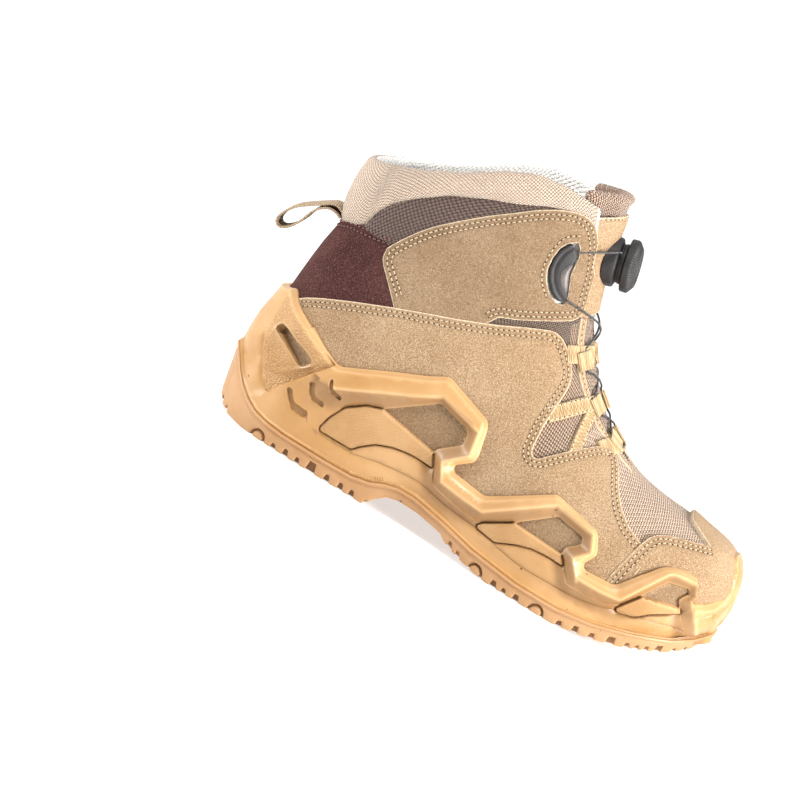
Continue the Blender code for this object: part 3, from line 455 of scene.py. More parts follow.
def treeOf(points):
    tree = KDTree(len(points))
    for index, point in enumerate(points):
        tree.insert(spot(point), index)
    tree.balance()
    return tree


def nearest(tree, points):
    found = [tree.find(spot(p)) for p in points]
    return np.array([f[1] for f in found]), np.array([f[2] for f in found])


formTrees = {}


def chartOf(form, viewPoints):
    key = id(form)
    if key not in formTrees:
        places, turns = np.meshgrid(np.linspace(0.05, lastRow - 0.1, 240), np.linspace(-1, 0.62, 140),
            indexing="ij")
        low = np.where(places > heelRow, 0.0, -skirtTurn(places))
        turns = np.where(turns < 0, turns * low, turns)
        chart = pair(places.ravel(), turns.ravel())
        point, _, _, normal = formFrame(form, chart)
        seen = (normal @ viewForward) < -0.03
        chart = chart[seen]
        formTrees[key] = (treeOf(viewOf(point[seen])), chart, form)
    tree, chart, _ = formTrees[key]
    goal = np.asarray(viewPoints, float)
    index, _ = nearest(tree, goal)
    guess = chart[index].copy()
    best, bestGap = guess.copy(), np.full(len(goal), 1e9)
    for _ in range(9):
        point, along, across, _ = formFrame(form, guess)
        here = viewOf(point)
        gap = size(goal - here)
        better = gap < bestGap
        best[better], bestGap[better] = guess[better], gap[better]
        a = viewOf(point + along * 1e-3) - here
        b = viewOf(point + across * 1e-3) - here
        det = a[:, 0] * b[:, 1] - a[:, 1] * b[:, 0]
        det = np.where(np.abs(det) < 1e-9, 1e-9, det)
        miss = (goal - here) * 1e-3
        move = pair(miss[:, 0] * b[:, 1] - miss[:, 1] * b[:, 0], a[:, 0] * miss[:, 1] - a[:, 1] * miss[:, 0])
        move = move / det[:, None]
        guess = guess + np.clip(move, (-0.4, -0.02), (0.4, 0.02))
        guess[:, 0] = np.clip(guess[:, 0], 0, lastRow)
        floor = np.where(guess[:, 0] > heelRow, 0.0, 1.15 * skirtTurn(guess[:, 0]))
        guess[:, 1] = np.clip(guess[:, 1], floor, 0.68)
    return best


# a smooth curve through the points
def smoothLine(points, step=0.8):
    points = np.array(points, float)
    last = len(points) - 1
    out = []
    for i in range(last):
        before, here, after, beyond = (points[min(max(i + k, 0), last)] for k in (-1, 0, 1, 2))
        for s in np.arange(0, 1, step / max(size(after - here), step)):
            bend = 2 * before - 5 * here + 4 * after - beyond
            twist = 3 * here - before - 3 * after + beyond
            out.append(0.5 * (2 * here + (after - before) * s + bend * s**2 + twist * s**3))
    return np.array([*out, points[-1]])


# straight runs with their corners rounded to a radius
def drawn(points, radius=1.5, closed=False, step=0.8):
    points = np.array(points, float)
    count = len(points)
    out = []
    for i, here in enumerate(points):
        if not closed and i in (0, count - 1):
            out.append(here)
            continue
        back, on = points[i - 1] - here, points[(i + 1) % count] - here
        cut = min(radius, 0.45 * size(back), 0.45 * size(on))
        start, end = here + unit(back) * cut, here + unit(on) * cut
        out += [(1 - s) ** 2 * start + 2 * s * (1 - s) * here + s**2 * end for s in np.linspace(0, 1, 6)]
    return evenly(out, step, closed)


def evenly(points, step, closed=False, measure=None):
    points = np.asarray(points, float)
    measure = points if measure is None else measure
    if closed:
        points, measure = (np.vstack((line, line[:1])) for line in (points, measure))
    lengths = size(np.diff(measure, axis=0))
    points = points[np.concatenate(((True,), lengths > 1e-6))]
    total = np.concatenate(((0,), np.cumsum(lengths[lengths > 1e-6])))
    marks = np.linspace(0, total[-1], max(int(round(total[-1] / step)), 2) + 1)
    if closed:
        marks = marks[:-1]
    return pair(*(np.interp(marks, total, column) for column in points.T))


# a line over the chart at even steps of real length
def evenChart(form, chart, step, closed=False):
    return evenly(chart, step, closed, form(*chart.T))


# a chart line moved sideways over the form, to the left of its own direction in the chart
def shifted(form, chart, distance, closed=False):
    steps = max(int(math.ceil(abs(distance) / 1.5)), 1)
    for _ in range(steps):
        point, along, across, _ = formFrame(form, chart)
        way = np.roll(point, -1, axis=0) - np.roll(point, 1, axis=0) if closed else np.gradient(point, axis=0)
        side = np.cross(unit(np.cross(along, across)), unit(way)) * distance / steps
        uu, uv, vv = (along * along).sum(1), (along * across).sum(1), (across * across).sum(1)
        a, b = (side * along).sum(1), (side * across).sum(1)
        det = np.maximum(uu * vv - uv ** 2, 1e-9)
        chart = chart + pair(a * vv - b * uv, b * uu - a * uv) / det[:, None]
        chart[:, 0] = np.clip(chart[:, 0], 0, lastRow)
    return chart


def inside(points, outline):
    result = np.zeros(len(points), bool)
    boxed = np.all((points >= outline.min(axis=0)) & (points <= outline.max(axis=0)), axis=1)
    u, v = points[boxed][:, None].T
    u, v = u.T, v.T
    hit = np.zeros(len(u), bool)
    ends = np.roll(outline, -1, axis=0)
    for block in range(0, len(outline), 400):
        a, b = outline[block:block + 400], ends[block:block + 400]
        crosses = (a[:, 1] > v) != (b[:, 1] > v)
        slope = (b[:, 0] - a[:, 0]) / np.where(b[:, 1] == a[:, 1], 1e-12, b[:, 1] - a[:, 1])
        left = u < a[:, 0] + (v - a[:, 1]) * slope
        hit ^= (np.count_nonzero(crosses & left, axis=1) % 2).astype(bool)
    result[boxed] = hit
    return result


# triangles over the chart inside an outline, with rows of points along every line that matters
def chartMesh(form, outline, holes=(), lines=(), spacing=1.6, rings=(0.3, 0.8)):
    loops = [outline, *holes]
    edgeTree = treeOf(np.concatenate([form(*loop.T) for loop in loops]))
    outFlat, *holeFlats = [flatOf(loop) for loop in loops]
    kept, taken = [], []

    def within(flat):
        good = inside(flat, outFlat)
        for holeFlat in holeFlats:
            good &= ~inside(flat, holeFlat)
        return good

    def keepGood(chart, room, gap):
        chart = chart[within(flatOf(chart))]
        if not len(chart):
            return
        point = form(*chart.T)
        good = nearest(edgeTree, point)[1] > room
        chart, point = chart[good], point[good]
        if taken and len(chart):
            good = nearest(treeOf(np.concatenate(taken)), point)[1] > gap
            chart, point = chart[good], point[good]
        if len(chart):
            kept.append(chart)
            taken.append(point)

    for line, offsets, closed in lines:
        keepGood(np.concatenate([shifted(form, line, o, closed) if o else line for o in offsets]), 0.25, 0.2)
    for loop in loops:
        flat = flatOf(loop)
        area = 0.5 * np.sum(flat[:, 0] * np.roll(flat[:, 1], -1) - flat[:, 1] * np.roll(flat[:, 0], -1))
        way = 1 if (area > 0) == (loop is outline) else -1
        for ring in rings:
            keepGood(shifted(form, loop, way * ring, True), ring * 0.7, 0.25)
    low, high = outFlat.min(axis=0), outFlat.max(axis=0)
    us, vs = np.arange(low[0], high[0], spacing), np.arange(low[1], high[1], spacing * 0.87)
    grid = np.stack(np.meshgrid(us, vs, indexing="ij"), axis=-1)
    grid[:, 1::2, 0] += spacing / 2
    grid = grid.reshape(-1, 2) + rng.normal(0, spacing * 0.04, (len(us) * len(vs), 2))
    keepGood(chartAt(grid), spacing * 0.45, spacing * 0.55)
    flats = [outFlat, *holeFlats, flatOf(np.concatenate(kept))]
    edges, start = [], 0
    for loopFlat in flats[:-1]:
        count = len(loopFlat)
        edges += [(start + i, start + (i + 1) % count) for i in range(count)]
        start += count
    made = delaunay_2d_cdt([Vector(p) for p in np.concatenate(flats)], edges, [], 0, 1e-5)
    flat = np.array([tuple(v) for v in made[0]])
    tris = np.array([f for f in made[2] if len(f) == 3])
    tris = tris[within(flat[tris].mean(axis=1))]
    corners = flat[tris]
    turned = np.cross(corners[:, 1] - corners[:, 0], corners[:, 2] - corners[:, 0]) < 0
    tris[turned] = tris[turned][:, ::-1]
    used = np.unique(tris)
    renumber = np.full(len(flat), -1)
    renumber[used] = np.arange(len(used))
    return chartAt(flat[used]), renumber[tris]


# points at close steps along chart lines over the form, and the distance from others to them
def lineTree(form, lines, step=0.35):
    return treeOf(np.concatenate([form(*evenChart(form, np.asarray(line), step).T) for line in lines]))


def awayFrom(form, lines, points, closed=False):
    lines = [np.vstack((line, line[:1])) for line in lines] if closed else lines
    return nearest(lineTree(form, lines), points)[1]


def addObject(name, points, faces, material, attributes=None, smoothAngle=45, rides=True):
    mesh = bpy.data.meshes.new(name)
    mesh.from_pydata(toFrame(points).tolist(), [], [tuple(f) for f in faces])
    for key, values in (attributes or {}).items():
        values = np.asarray(values, float)
        kind, field = ("FLOAT", "value") if values.ndim == 1 else ("FLOAT_VECTOR", "vector")
        mesh.attributes.new(key, kind, "POINT").data.foreach_set(field, values.ravel())
    mesh.materials.append(material)
    mesh.shade_smooth()
    made = addToScene(name, mesh)
    tidyMesh(made, smoothAngle)
    if rides:
        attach(made, "root")
    return made


def tidyMesh(made, smoothAngle):
    tidy = bmesh.new()
    tidy.from_mesh(made.data)
    bmesh.ops.remove_doubles(tidy, verts=tidy.verts, dist=2e-6)
    bmesh.ops.dissolve_degenerate(tidy, edges=tidy.edges, dist=1e-6)
    loose = [v for v in tidy.verts if not v.link_faces]
    bmesh.ops.delete(tidy, geom=loose, context="VERTS")
    tidy.to_mesh(made.data)
    tidy.free()
    made.data.set_sharp_from_angle(angle=math.radians(smoothAngle))


def faceOutwards(made):
    shell = bmesh.new()
    shell.from_mesh(made.data)
    bmesh.ops.recalc_face_normals(shell, faces=shell.faces)
    shell.to_mesh(made.data)
    shell.free()


# front and back skins of a piece joined by its cut edge, as one closed shell
def shellFaces(tris, count):
    ends = np.concatenate((tris[:, [0, 1]], tris[:, [1, 2]], tris[:, [2, 0]]))
    key = ends.min(axis=1).astype(np.int64) * 10**7 + ends.max(axis=1)
    _, first, uses = np.unique(key, return_index=True, return_counts=True)
    faces = [tuple(t[::-1]) for t in tris]
    faces += [tuple(t + count) for t in tris]
    faces += [(a, b, b + count, a + count) for a, b in ends[first[uses == 1]]]
    return faces


shaftStep = 16.0  # about the length of one step of the chart on the shaft


def flippedFaces(faces):
    return [tuple(reversed(f)) for f in faces]


def twice(attributes):  # the same values for the front and the back points
    return {key: np.concatenate((values, values)) for key, values in attributes.items()}


# a closed sheet between two grids of points, with its flat chart for the weave
def addSheet(name, front, back, flat, paint, rim=5.0):
    rows, columns = front.shape[:2]
    tris = []
    for r in range(rows - 1):
        for c in range(columns - 1):
            a, d = r * columns + c, (r + 1) * columns + c
            tris += [(a, a + 1, d + 1), (a, d + 1, d)]
    count = rows * columns
    data = {"flat": flat.reshape(-1, 3), "rim": np.broadcast_to(rim, (rows, columns)).ravel(),
            "pressAndShade": np.zeros(count)}
    points = np.concatenate((front.reshape(-1, 3), back.reshape(-1, 3)))
    made = addObject(name, points, shellFaces(np.array(tris), count), paint, twice(data), 60)
    faceOutwards(made)
    return made


# rings of points joined into a tube, whose last ring can wrap round to the first
def ringFaces(rings, count, wraps=False):
    faces = []
    for r in range(rings if wraps else rings - 1):
        on = (r + 1) % rings * count
        faces += [(r * count + i, r * count + (i + 1) % count, on + (i + 1) % count,
            on + i) for i in range(count)]
    return faces


def newGroup(name, inputs, outputs):
    tree = bpy.data.node_groups.new(name, "ShaderNodeTree")
    for label, kind, value in inputs:
        socket = tree.interface.new_socket(label, in_out="INPUT", socket_type="NodeSocket" + kind)
        if value is not None:
            socket.default_value = (*value, 1) if kind == "Color" else value
    for label, kind in outputs:
        tree.interface.new_socket(label, in_out="OUTPUT", socket_type="NodeSocket" + kind)
    return tree, tree.nodes.new("NodeGroupInput").outputs, tree.nodes.new("NodeGroupOutput").inputs


# Brushed leather: soft cloudy patches, fine speckle and a short nap.
def suedeGroup():
    tree, source, result = newGroup("suedeNap", (
        ("Base", "Color", (0.5, 0.37, 0.22)), ("Deep", "Color", (0.3, 0.2, 0.1)),
        ("Bright", "Color", (0.7, 0.6, 0.4)),
        ("Speckle", "Float", 0.5),
    ), (("Color", "Color"), ("Height", "Float")))
    cloud = noise(tree, 24.0, 3.0, 0.55)
    brushed = noise(tree, 1000.0, 2.0, 0.6)
    fine = noise(tree, 1800.0, 1.0, 0.6)
    colour = mix(tree, spread(tree, cloud, 0.40, 0.72, 0.0, 0.30), source["Base"], source["Bright"])
    colour = mix(tree, spread(tree, brushed, 0.50, 0.66, 0.0, 0.52), colour, source["Deep"])
    dots = times(tree, spread(tree, fine, 0.54, 0.66), source["Speckle"])
    colour = mix(tree, dots, colour, source["Deep"])
    flecks = times(tree, spread(tree, fine, 0.46, 0.34), source["Speckle"])
    colour = mix(tree, flecks, colour, source["Bright"])
    height = plus(tree, times(tree, brushed, 0.55), times(tree, fine, 0.45))
    link(tree, result["Color"], colour)
    link(tree, result["Height"], height)
    return tree


# Cloth of crossing strands on the piece's own flat chart. Twill moves each row along by a share.
def weaveGroup():
    tree, source, result = newGroup("clothWeave", (
        ("Strand", "Float", 0.0012), ("Stretch", "Float", 1.0), ("Turn", "Float", 0.0),
        ("Twill", "Float", 0.0),
    ), (("Height", "Float"), ("Gap", "Float")))
    flat = addNode(tree, "VectorRotate", {"rotation_type": "Z_AXIS"},
        Vector=attribute(tree, "flat", "Vector"), Angle=source["Turn"])
    wobble = addNode(tree, "VectorMath", {"operation": "MULTIPLY_ADD"},
        i0=noise(tree, 160.0, 1.0, 0.5, output=1), i1=(0.0005, 0.0005, 0.0), i2=flat.outputs[0])
    parts = addNode(tree, "SeparateXYZ", Vector=wobble.outputs[0])
    across = calc(tree, "DIVIDE", parts.outputs[0], source["Strand"])
    along = calc(tree, "DIVIDE", parts.outputs[1], times(tree, source["Strand"], source["Stretch"]))
    row = calc(tree, "FLOOR", along)
    across = plus(tree, across, times(tree, row, source["Twill"]))
    column = calc(tree, "FLOOR", across)
    over = calc(tree, "FLOORED_MODULO", plus(tree, row, column), 2.0)
    warp = calc(tree, "ABSOLUTE", calc(tree, "SINE", times(tree, across, math.pi)))
    weft = calc(tree, "ABSOLUTE", calc(tree, "SINE", times(tree, along, math.pi)))
    up = times(tree, warp, plus(tree, times(tree, weft, 0.45), 0.55))
    side = times(tree, weft, plus(tree, times(tree, warp, 0.45), 0.55))
    made = addNode(tree, "Mix", {"data_type": "FLOAT"}, i0=over, i2=times(tree, side, 0.86), i3=up)
    link(tree, result["Height"], made.outputs[0])
    link(tree, result["Gap"], spread(tree, made.outputs[0], 0.6, 0.2))
    return tree


# Pale raw edge of cut leather or worn plastic, from the distance to the piece's rim.
def edgeGroup():
    tree, source, result = newGroup("cutEdge", (("Width", "Float", 0.8), ("Break", "Float", 0.5)),
        (("Mask", "Float"),))
    ragged = times(tree, calc(tree, "SUBTRACT", noise(tree, 700.0, 2.0, 0.6), 0.5), source["Break"])
    away = plus(tree, attribute(tree, "rim"), ragged)
    link(tree, result["Mask"], spread(tree, away, source["Width"], times(tree, source["Width"], 0.35)))
    return tree


# Moulding pits, dust specks and faint cloudiness of rubber and plastic.
def mouldGroup():
    tree, source, result = newGroup("mouldedSkin", (
        ("Base", "Color", (0.7, 0.4, 0.15)), ("Worn", "Color", (0.8, 0.6, 0.4)),
        ("Dirt", "Color", (0.1, 0.05, 0.02)),
        ("Specks", "Float", 1.0),
    ), (("Color", "Color"), ("Height", "Float"), ("Rough", "Float")))
    cloud = noise(tree, 35.0, 3.0, 0.5)
    fine = noise(tree, 900.0, 2.0, 0.5)
    colour = mix(tree, spread(tree, cloud, 0.35, 0.7, 0.0, 0.35), source["Base"], source["Worn"])
    spots = addNode(tree, "TexVoronoi", {"feature": "F1"},
        Vector=addNode(tree, "TexCoord").outputs["Object"], Scale=95.0)
    rare = spread(tree, addNode(tree, "SeparateColor", Color=spots.outputs["Color"]).outputs[0], 0.93, 0.94)
    spot = times(tree, spread(tree, spots.outputs["Distance"], 0.075, 0.045), rare)
    colour = mix(tree, times(tree, spot, source["Specks"]), colour, source["Dirt"])
    link(tree, result["Color"], colour)
    link(tree, result["Height"], plus(tree, times(tree, fine, 0.5), times(tree, spot, -1.0)))
    link(tree, result["Rough"], spread(tree, noise(tree, 220.0, 3.0, 0.6), 0.3, 0.7, 0.42, 0.6))
    return tree


groups = {"suede": suedeGroup(), "weave": weaveGroup(), "edge": edgeGroup(), "mould": mouldGroup()}


def useGroup(tree, name, **inputs):
    made = tree.nodes.new("ShaderNodeGroup")
    made.node_tree = groups[name]
    for key, value in inputs.items():
        link(tree, made.inputs[key], value)
    return made.outputs


def addBump(tree, inputs, height, strength, distance, before=None):
    made = addNode(tree, "Bump", Height=height, Strength=strength, Distance=distance)
    if before:
        link(tree, made.inputs["Normal"], before)
    link(tree, inputs["Normal"], made.outputs[0])
    return made.outputs[0]


def suedeMaterial(name, finish, base, deep, bright, raw, speckle=0.52):
    made, tree, inputs = newMaterial(name, finish, Roughness=0.93, Specular_IOR_Level=0.2,
        Sheen_Weight=0.12, Sheen_Roughness=0.5, Sheen_Tint=bright)
    nap = useGroup(tree, "suede", Base=base, Deep=deep, Bright=bright, Speckle=speckle)
    edge = useGroup(tree, "edge", Width=0.6, Break=0.9)
    # darkened along the stitch rows, and with painted shade inside the cage's windows
    pressedAndShaded = times(tree, attribute(tree, "pressAndShade"), 0.5)
    colour = mix(tree, pressedAndShaded, nap["Color"], deep)
    colour = mix(tree, times(tree, edge["Mask"], 0.75), colour, raw)
    link(tree, inputs["Base Color"], colour)
    addBump(tree, inputs, nap["Height"], 0.8, 0.0009)
    return made


def mouldedMaterial(name, finish, base, worn, dirtAndShade, roughness):
    made, tree, inputs = newMaterial(name, finish, Specular_IOR_Level=0.42, Subsurface_Weight=0.12,
        Subsurface_Radius=(1.0, 0.5, 0.25), Subsurface_Scale=0.002)
    skin = useGroup(tree, "mould", Base=base, Worn=worn, Dirt=dirtAndShade, Specks=1.0)
    # the rims are lightened towards the worn colour: wear and painted highlight
    ends = spread(tree, attribute(tree, "rim"), 1.6, 0.2, 0.0, 0.35)
    colour = mix(tree, ends, skin["Color"], worn)
    # grooves are darkened towards the dark colour, and the shade attribute darkens it as painted shade
    colour = mix(tree, times(tree, attribute(tree, "groove"), 0.9), colour, dirtAndShade)
    colour = mix(tree, times(tree, attribute(tree, "shade"), 0.46), colour, dirtAndShade)
    # painted highlight: the ridge attribute lightens the crests
    colour = mix(tree, times(tree, attribute(tree, "ridge"), 0.55), colour, worn)
    link(tree, inputs["Base Color"], colour)
    link(tree, inputs["Roughness"], plus(tree, skin["Rough"], roughness - 0.5))
    normal = addBump(tree, inputs, skin["Height"], 0.25, 0.0002)
    coordinates = addNode(tree, "TexCoord").outputs["Object"]
    warped = addNode(tree, "VectorMath", {"operation": "MULTIPLY_ADD"},
        i0=noise(tree, 500.0, 2.0, 0.5, output=1), i1=(0.0006, 0.0006, 0.0006), i2=coordinates)
    pebble = addNode(tree, "TexVoronoi", {"feature": "SMOOTH_F1"}, Vector=warped.outputs[0], Scale=1250.0)
    stones = times(tree, spread(tree, pebble.outputs["Distance"], 0.75, 0.15), attribute(tree, "pebble"))
    normal = addBump(tree, inputs, stones, 0.9, 0.0007, normal)
    flat = addNode(tree, "VectorRotate", {"rotation_type": "Z_AXIS"},
        Vector=attribute(tree, "flat", "Vector"), Angle=0.55)
    parts = addNode(tree, "SeparateXYZ", Vector=flat.outputs[0])
    wave = [calc(tree, "SINE", times(tree, parts.outputs[axis], 2 * math.pi / 0.0012)) for axis in (0, 1)]
    dots = spread(tree, times(tree, *wave), 0.15, 0.75)
    dots = times(tree, dots, attribute(tree, "dots"))
    addBump(tree, inputs, dots, 0.8, 0.0006, normal)
    return made


def wovenMaterial(name, finish, base, deep, bright, strand, stretch=1.0, turn=0.0, twill=0.0, height=0.0005,
        sheen=0.25, mottle=0.3, gap=0.8):
    made, tree, inputs = newMaterial(name, finish, Roughness=0.85, Specular_IOR_Level=0.25,
        Sheen_Weight=sheen)
    weave = useGroup(tree, "weave", Strand=strand, Stretch=stretch, Turn=turn, Twill=twill)
    cloud = spread(tree, noise(tree, 260.0, 3.0, 0.6), 0.35, 0.7, 0.0, mottle)
    colour = mix(tree, cloud, base, deep)
    # painted highlight on the strand crowns and painted shade in the gaps between the strands
    colour = mix(tree, times(tree, weave["Height"], 0.55), colour, bright)
    colour = mix(tree, times(tree, weave["Gap"], gap), colour, deep)
    colour = mix(tree, times(tree, attribute(tree, "pressAndShade"), 0.5), colour, deep)
    link(tree, inputs["Base Color"], colour)
    addBump(tree, inputs, weave["Height"], 1.0, height * 1.6)
    return made


def threadMaterial(name, finish, base, deep):
    made, tree, inputs = newMaterial(name, finish, Roughness=0.6, Specular_IOR_Level=0.4, Sheen_Weight=0.2)
    coordinates = addNode(tree, "TexCoord").outputs["Object"]
    twist = addNode(tree, "TexWave", {"bands_direction": "DIAGONAL"}, Vector=coordinates, Scale=900.0,
        Distortion=1.5)
    colour = mix(tree, spread(tree, twist.outputs["Fac"], 0.2, 0.8), deep, base)
    link(tree, inputs["Base Color"], colour)
    addBump(tree, inputs, twist.outputs["Fac"], 0.4, 0.0002)
    return made


# a near-black disc in place of a needle hole: painted shade
def holeMaterial(name, finish, base, other):
    made, tree, inputs = newMaterial(name, finish, Roughness=0.95, Specular_IOR_Level=0.1)
    link(tree, inputs["Base Color"], mix(tree, noise(tree, 800.0), base, other))
    return made


def plasticMaterial(name, finish, base, worn, roughness):
    made, tree, inputs = newMaterial(name, finish, Specular_IOR_Level=0.45)
    cloud = noise(tree, 180.0, 4.0, 0.6)
    link(tree, inputs["Base Color"], mix(tree, spread(tree, cloud, 0.4, 0.8), base, worn))
    link(tree, inputs["Roughness"], spread(tree, noise(tree, 600.0), 0.2, 0.8, roughness - 0.06,
        roughness + 0.12))
    addBump(tree, inputs, noise(tree, 2500.0, 2.0), 0.15, 0.0001)
    return made


def wireMaterial(name, finish, dark, light):
    made, tree, inputs = newMaterial(name, finish, Metallic=0.7, Roughness=0.32)
    parts = addNode(tree, "SeparateXYZ", Vector=attribute(tree, "flat", "Vector")).outputs
    strand = calc(tree, "SINE", plus(tree, times(tree, parts[0], 6000.0), times(tree, parts[1], 5236.0)))
    link(tree, inputs["Base Color"], mix(tree, spread(tree, strand, -1.0, 1.0), dark, light))
    addBump(tree, inputs, strand, 0.5, 0.0001)
    return made


# each finish: how it is made, its name, the record's finish, its colours, then what is its own
finishTable = {
    "suede": (suedeMaterial, "sand_suede_nap", "sand_suede",
              (0.292, 0.188, 0.104), (0.14, 0.083, 0.041), (0.56, 0.425, 0.285), (0.72, 0.60, 0.44)),
    # the ankle flap's copy of the sand suede, darker as painted shade
    "shaded": (suedeMaterial, "shaded_suede_nap", "sand_suede",
               (0.206, 0.130, 0.072), (0.11, 0.064, 0.032), (0.44, 0.33, 0.22), (0.66, 0.55, 0.40)),
    "brown": (suedeMaterial, "brown_suede_nap", "panel_suede",
              (0.038, 0.0117, 0.0102), (0.015, 0.004, 0.004), (0.18, 0.078, 0.070), (0.13, 0.055, 0.045),
              0.6),
    # cage and tread: base, worn and dark colours; the worn colour also gives painted highlight, the dark one
    # painted shade
    "cage": (mouldedMaterial, "cage_rubber", "tan_cage",
             (0.378, 0.203, 0.072), (0.66, 0.43, 0.225), (0.10, 0.045, 0.018), 0.36),
    "tread": (mouldedMaterial, "tread_rubber", "tan_rubber",
              (0.37, 0.198, 0.084), (0.52, 0.325, 0.175), (0.09, 0.045, 0.022), 0.50),
    "thread": (threadMaterial, "sand_thread", "webbing", (0.62, 0.49, 0.33), (0.33, 0.235, 0.14)),
    "brownThread": (threadMaterial, "brown_thread", "panel_suede", (0.22, 0.085, 0.075), (0.07, 0.022, 0.02)),
    "whiteThread": (threadMaterial, "pale_thread", "webbing", (0.66, 0.58, 0.44), (0.38, 0.30, 0.19)),
    # needle holes: near-black as painted shade
    "needleHole": (holeMaterial, "needle_holes", "sand_suede", (0.055, 0.034, 0.020), (0.022, 0.014, 0.009)),
    "brownHole": (holeMaterial, "brown_needle_holes", "panel_suede", (0.02, 0.007, 0.006),
                  (0.01, 0.004, 0.004)),
    "black": (plasticMaterial, "black_moulding", "black_plastic",
              (0.012, 0.0105, 0.011), (0.028, 0.024, 0.024), 0.56),
    "dome": (plasticMaterial, "guide_dome_plastic", "black_plastic", (0.11, 0.095, 0.09),
             (0.16, 0.14, 0.135), 0.36),
    "wire": (wireMaterial, "coated_wire", "lace_wire", (0.035, 0.034, 0.036), (0.13, 0.128, 0.13)),
}
# cloths: name, the record's finish, base, deep and bright colours, and the weave
clothTable = {
    "collar": ("collar_weave", "tongue_mesh", (0.455, 0.322, 0.232), (0.13, 0.082, 0.052), (0.86, 0.73, 0.61),
               {"strand": 0.0014, "turn": 0.62, "mottle": 0.2, "gap": 0.6}),
    "crescent": ("crescent_weave", "tongue_mesh", (0.048, 0.026, 0.021), (0.010, 0.005, 0.004),
                 (0.25, 0.165, 0.13),
                 {"strand": 0.0017, "turn": 0.45}),
    "lining": ("lining_mesh", "footbed_cloth", (0.97, 0.95, 0.92), (0.88, 0.84, 0.78), (0.98, 0.97, 0.96),
               {"strand": 0.0018, "turn": 0.785, "height": 0.0004, "sheen": 0.2, "mottle": 0.2, "gap": 0.35}),
    "vamp": ("vamp_twill", "tongue_mesh", (0.40, 0.265, 0.175), (0.09, 0.052, 0.032), (0.74, 0.57, 0.43),
             {"strand": 0.0017, "stretch": 0.8, "turn": -1.28, "twill": 0.5, "height": 0.0006}),
    "notch": ("side_basket_weave", "tongue_mesh", (0.30, 0.18, 0.11), (0.06, 0.03, 0.018), (0.70, 0.53, 0.39),
              {"strand": 0.0016, "turn": 0.5, "height": 0.0008, "sheen": 0.2, "gap": 0.9}),
    "slit": ("slit_mesh", "tongue_mesh", (0.10, 0.062, 0.045), (0.02, 0.012, 0.01), (0.34, 0.24, 0.17),
             {"strand": 0.0016}),
    "tongue": ("tongue_weave", "tongue_mesh", (0.40, 0.23, 0.145), (0.10, 0.05, 0.03), (0.76, 0.56, 0.42),
               {"strand": 0.0021, "stretch": 0.8, "turn": 0.1, "twill": 0.5, "height": 0.0009, "gap": 0.95}),
    "webbing": ("ribbed_webbing", "webbing", (0.43, 0.295, 0.145), (0.22, 0.135, 0.06), (0.62, 0.47, 0.29),
                {"strand": 0.0011, "stretch": 14.0, "height": 0.0003, "sheen": 0.2, "mottle": 0.25,
                 "gap": 0.5}),
    "pull": ("herringbone_webbing", "webbing", (0.36, 0.235, 0.125), (0.18, 0.105, 0.055), (0.68, 0.52, 0.34),
             {"strand": 0.0011, "stretch": 1.4, "twill": 0.9, "sheen": 0.2, "gap": 0.7}),
    "footbed": ("footbed_weave", "footbed_cloth", (0.62, 0.56, 0.47), (0.4, 0.34, 0.27), (0.8, 0.76, 0.68),
                {"strand": 0.0012}),
}
paints = {key: make(*values) for key, (make, *values) in finishTable.items()}
paints.update({key: wovenMaterial(*values, **weave) for key, (*values, weave) in clothTable.items()})
print("materials ready")

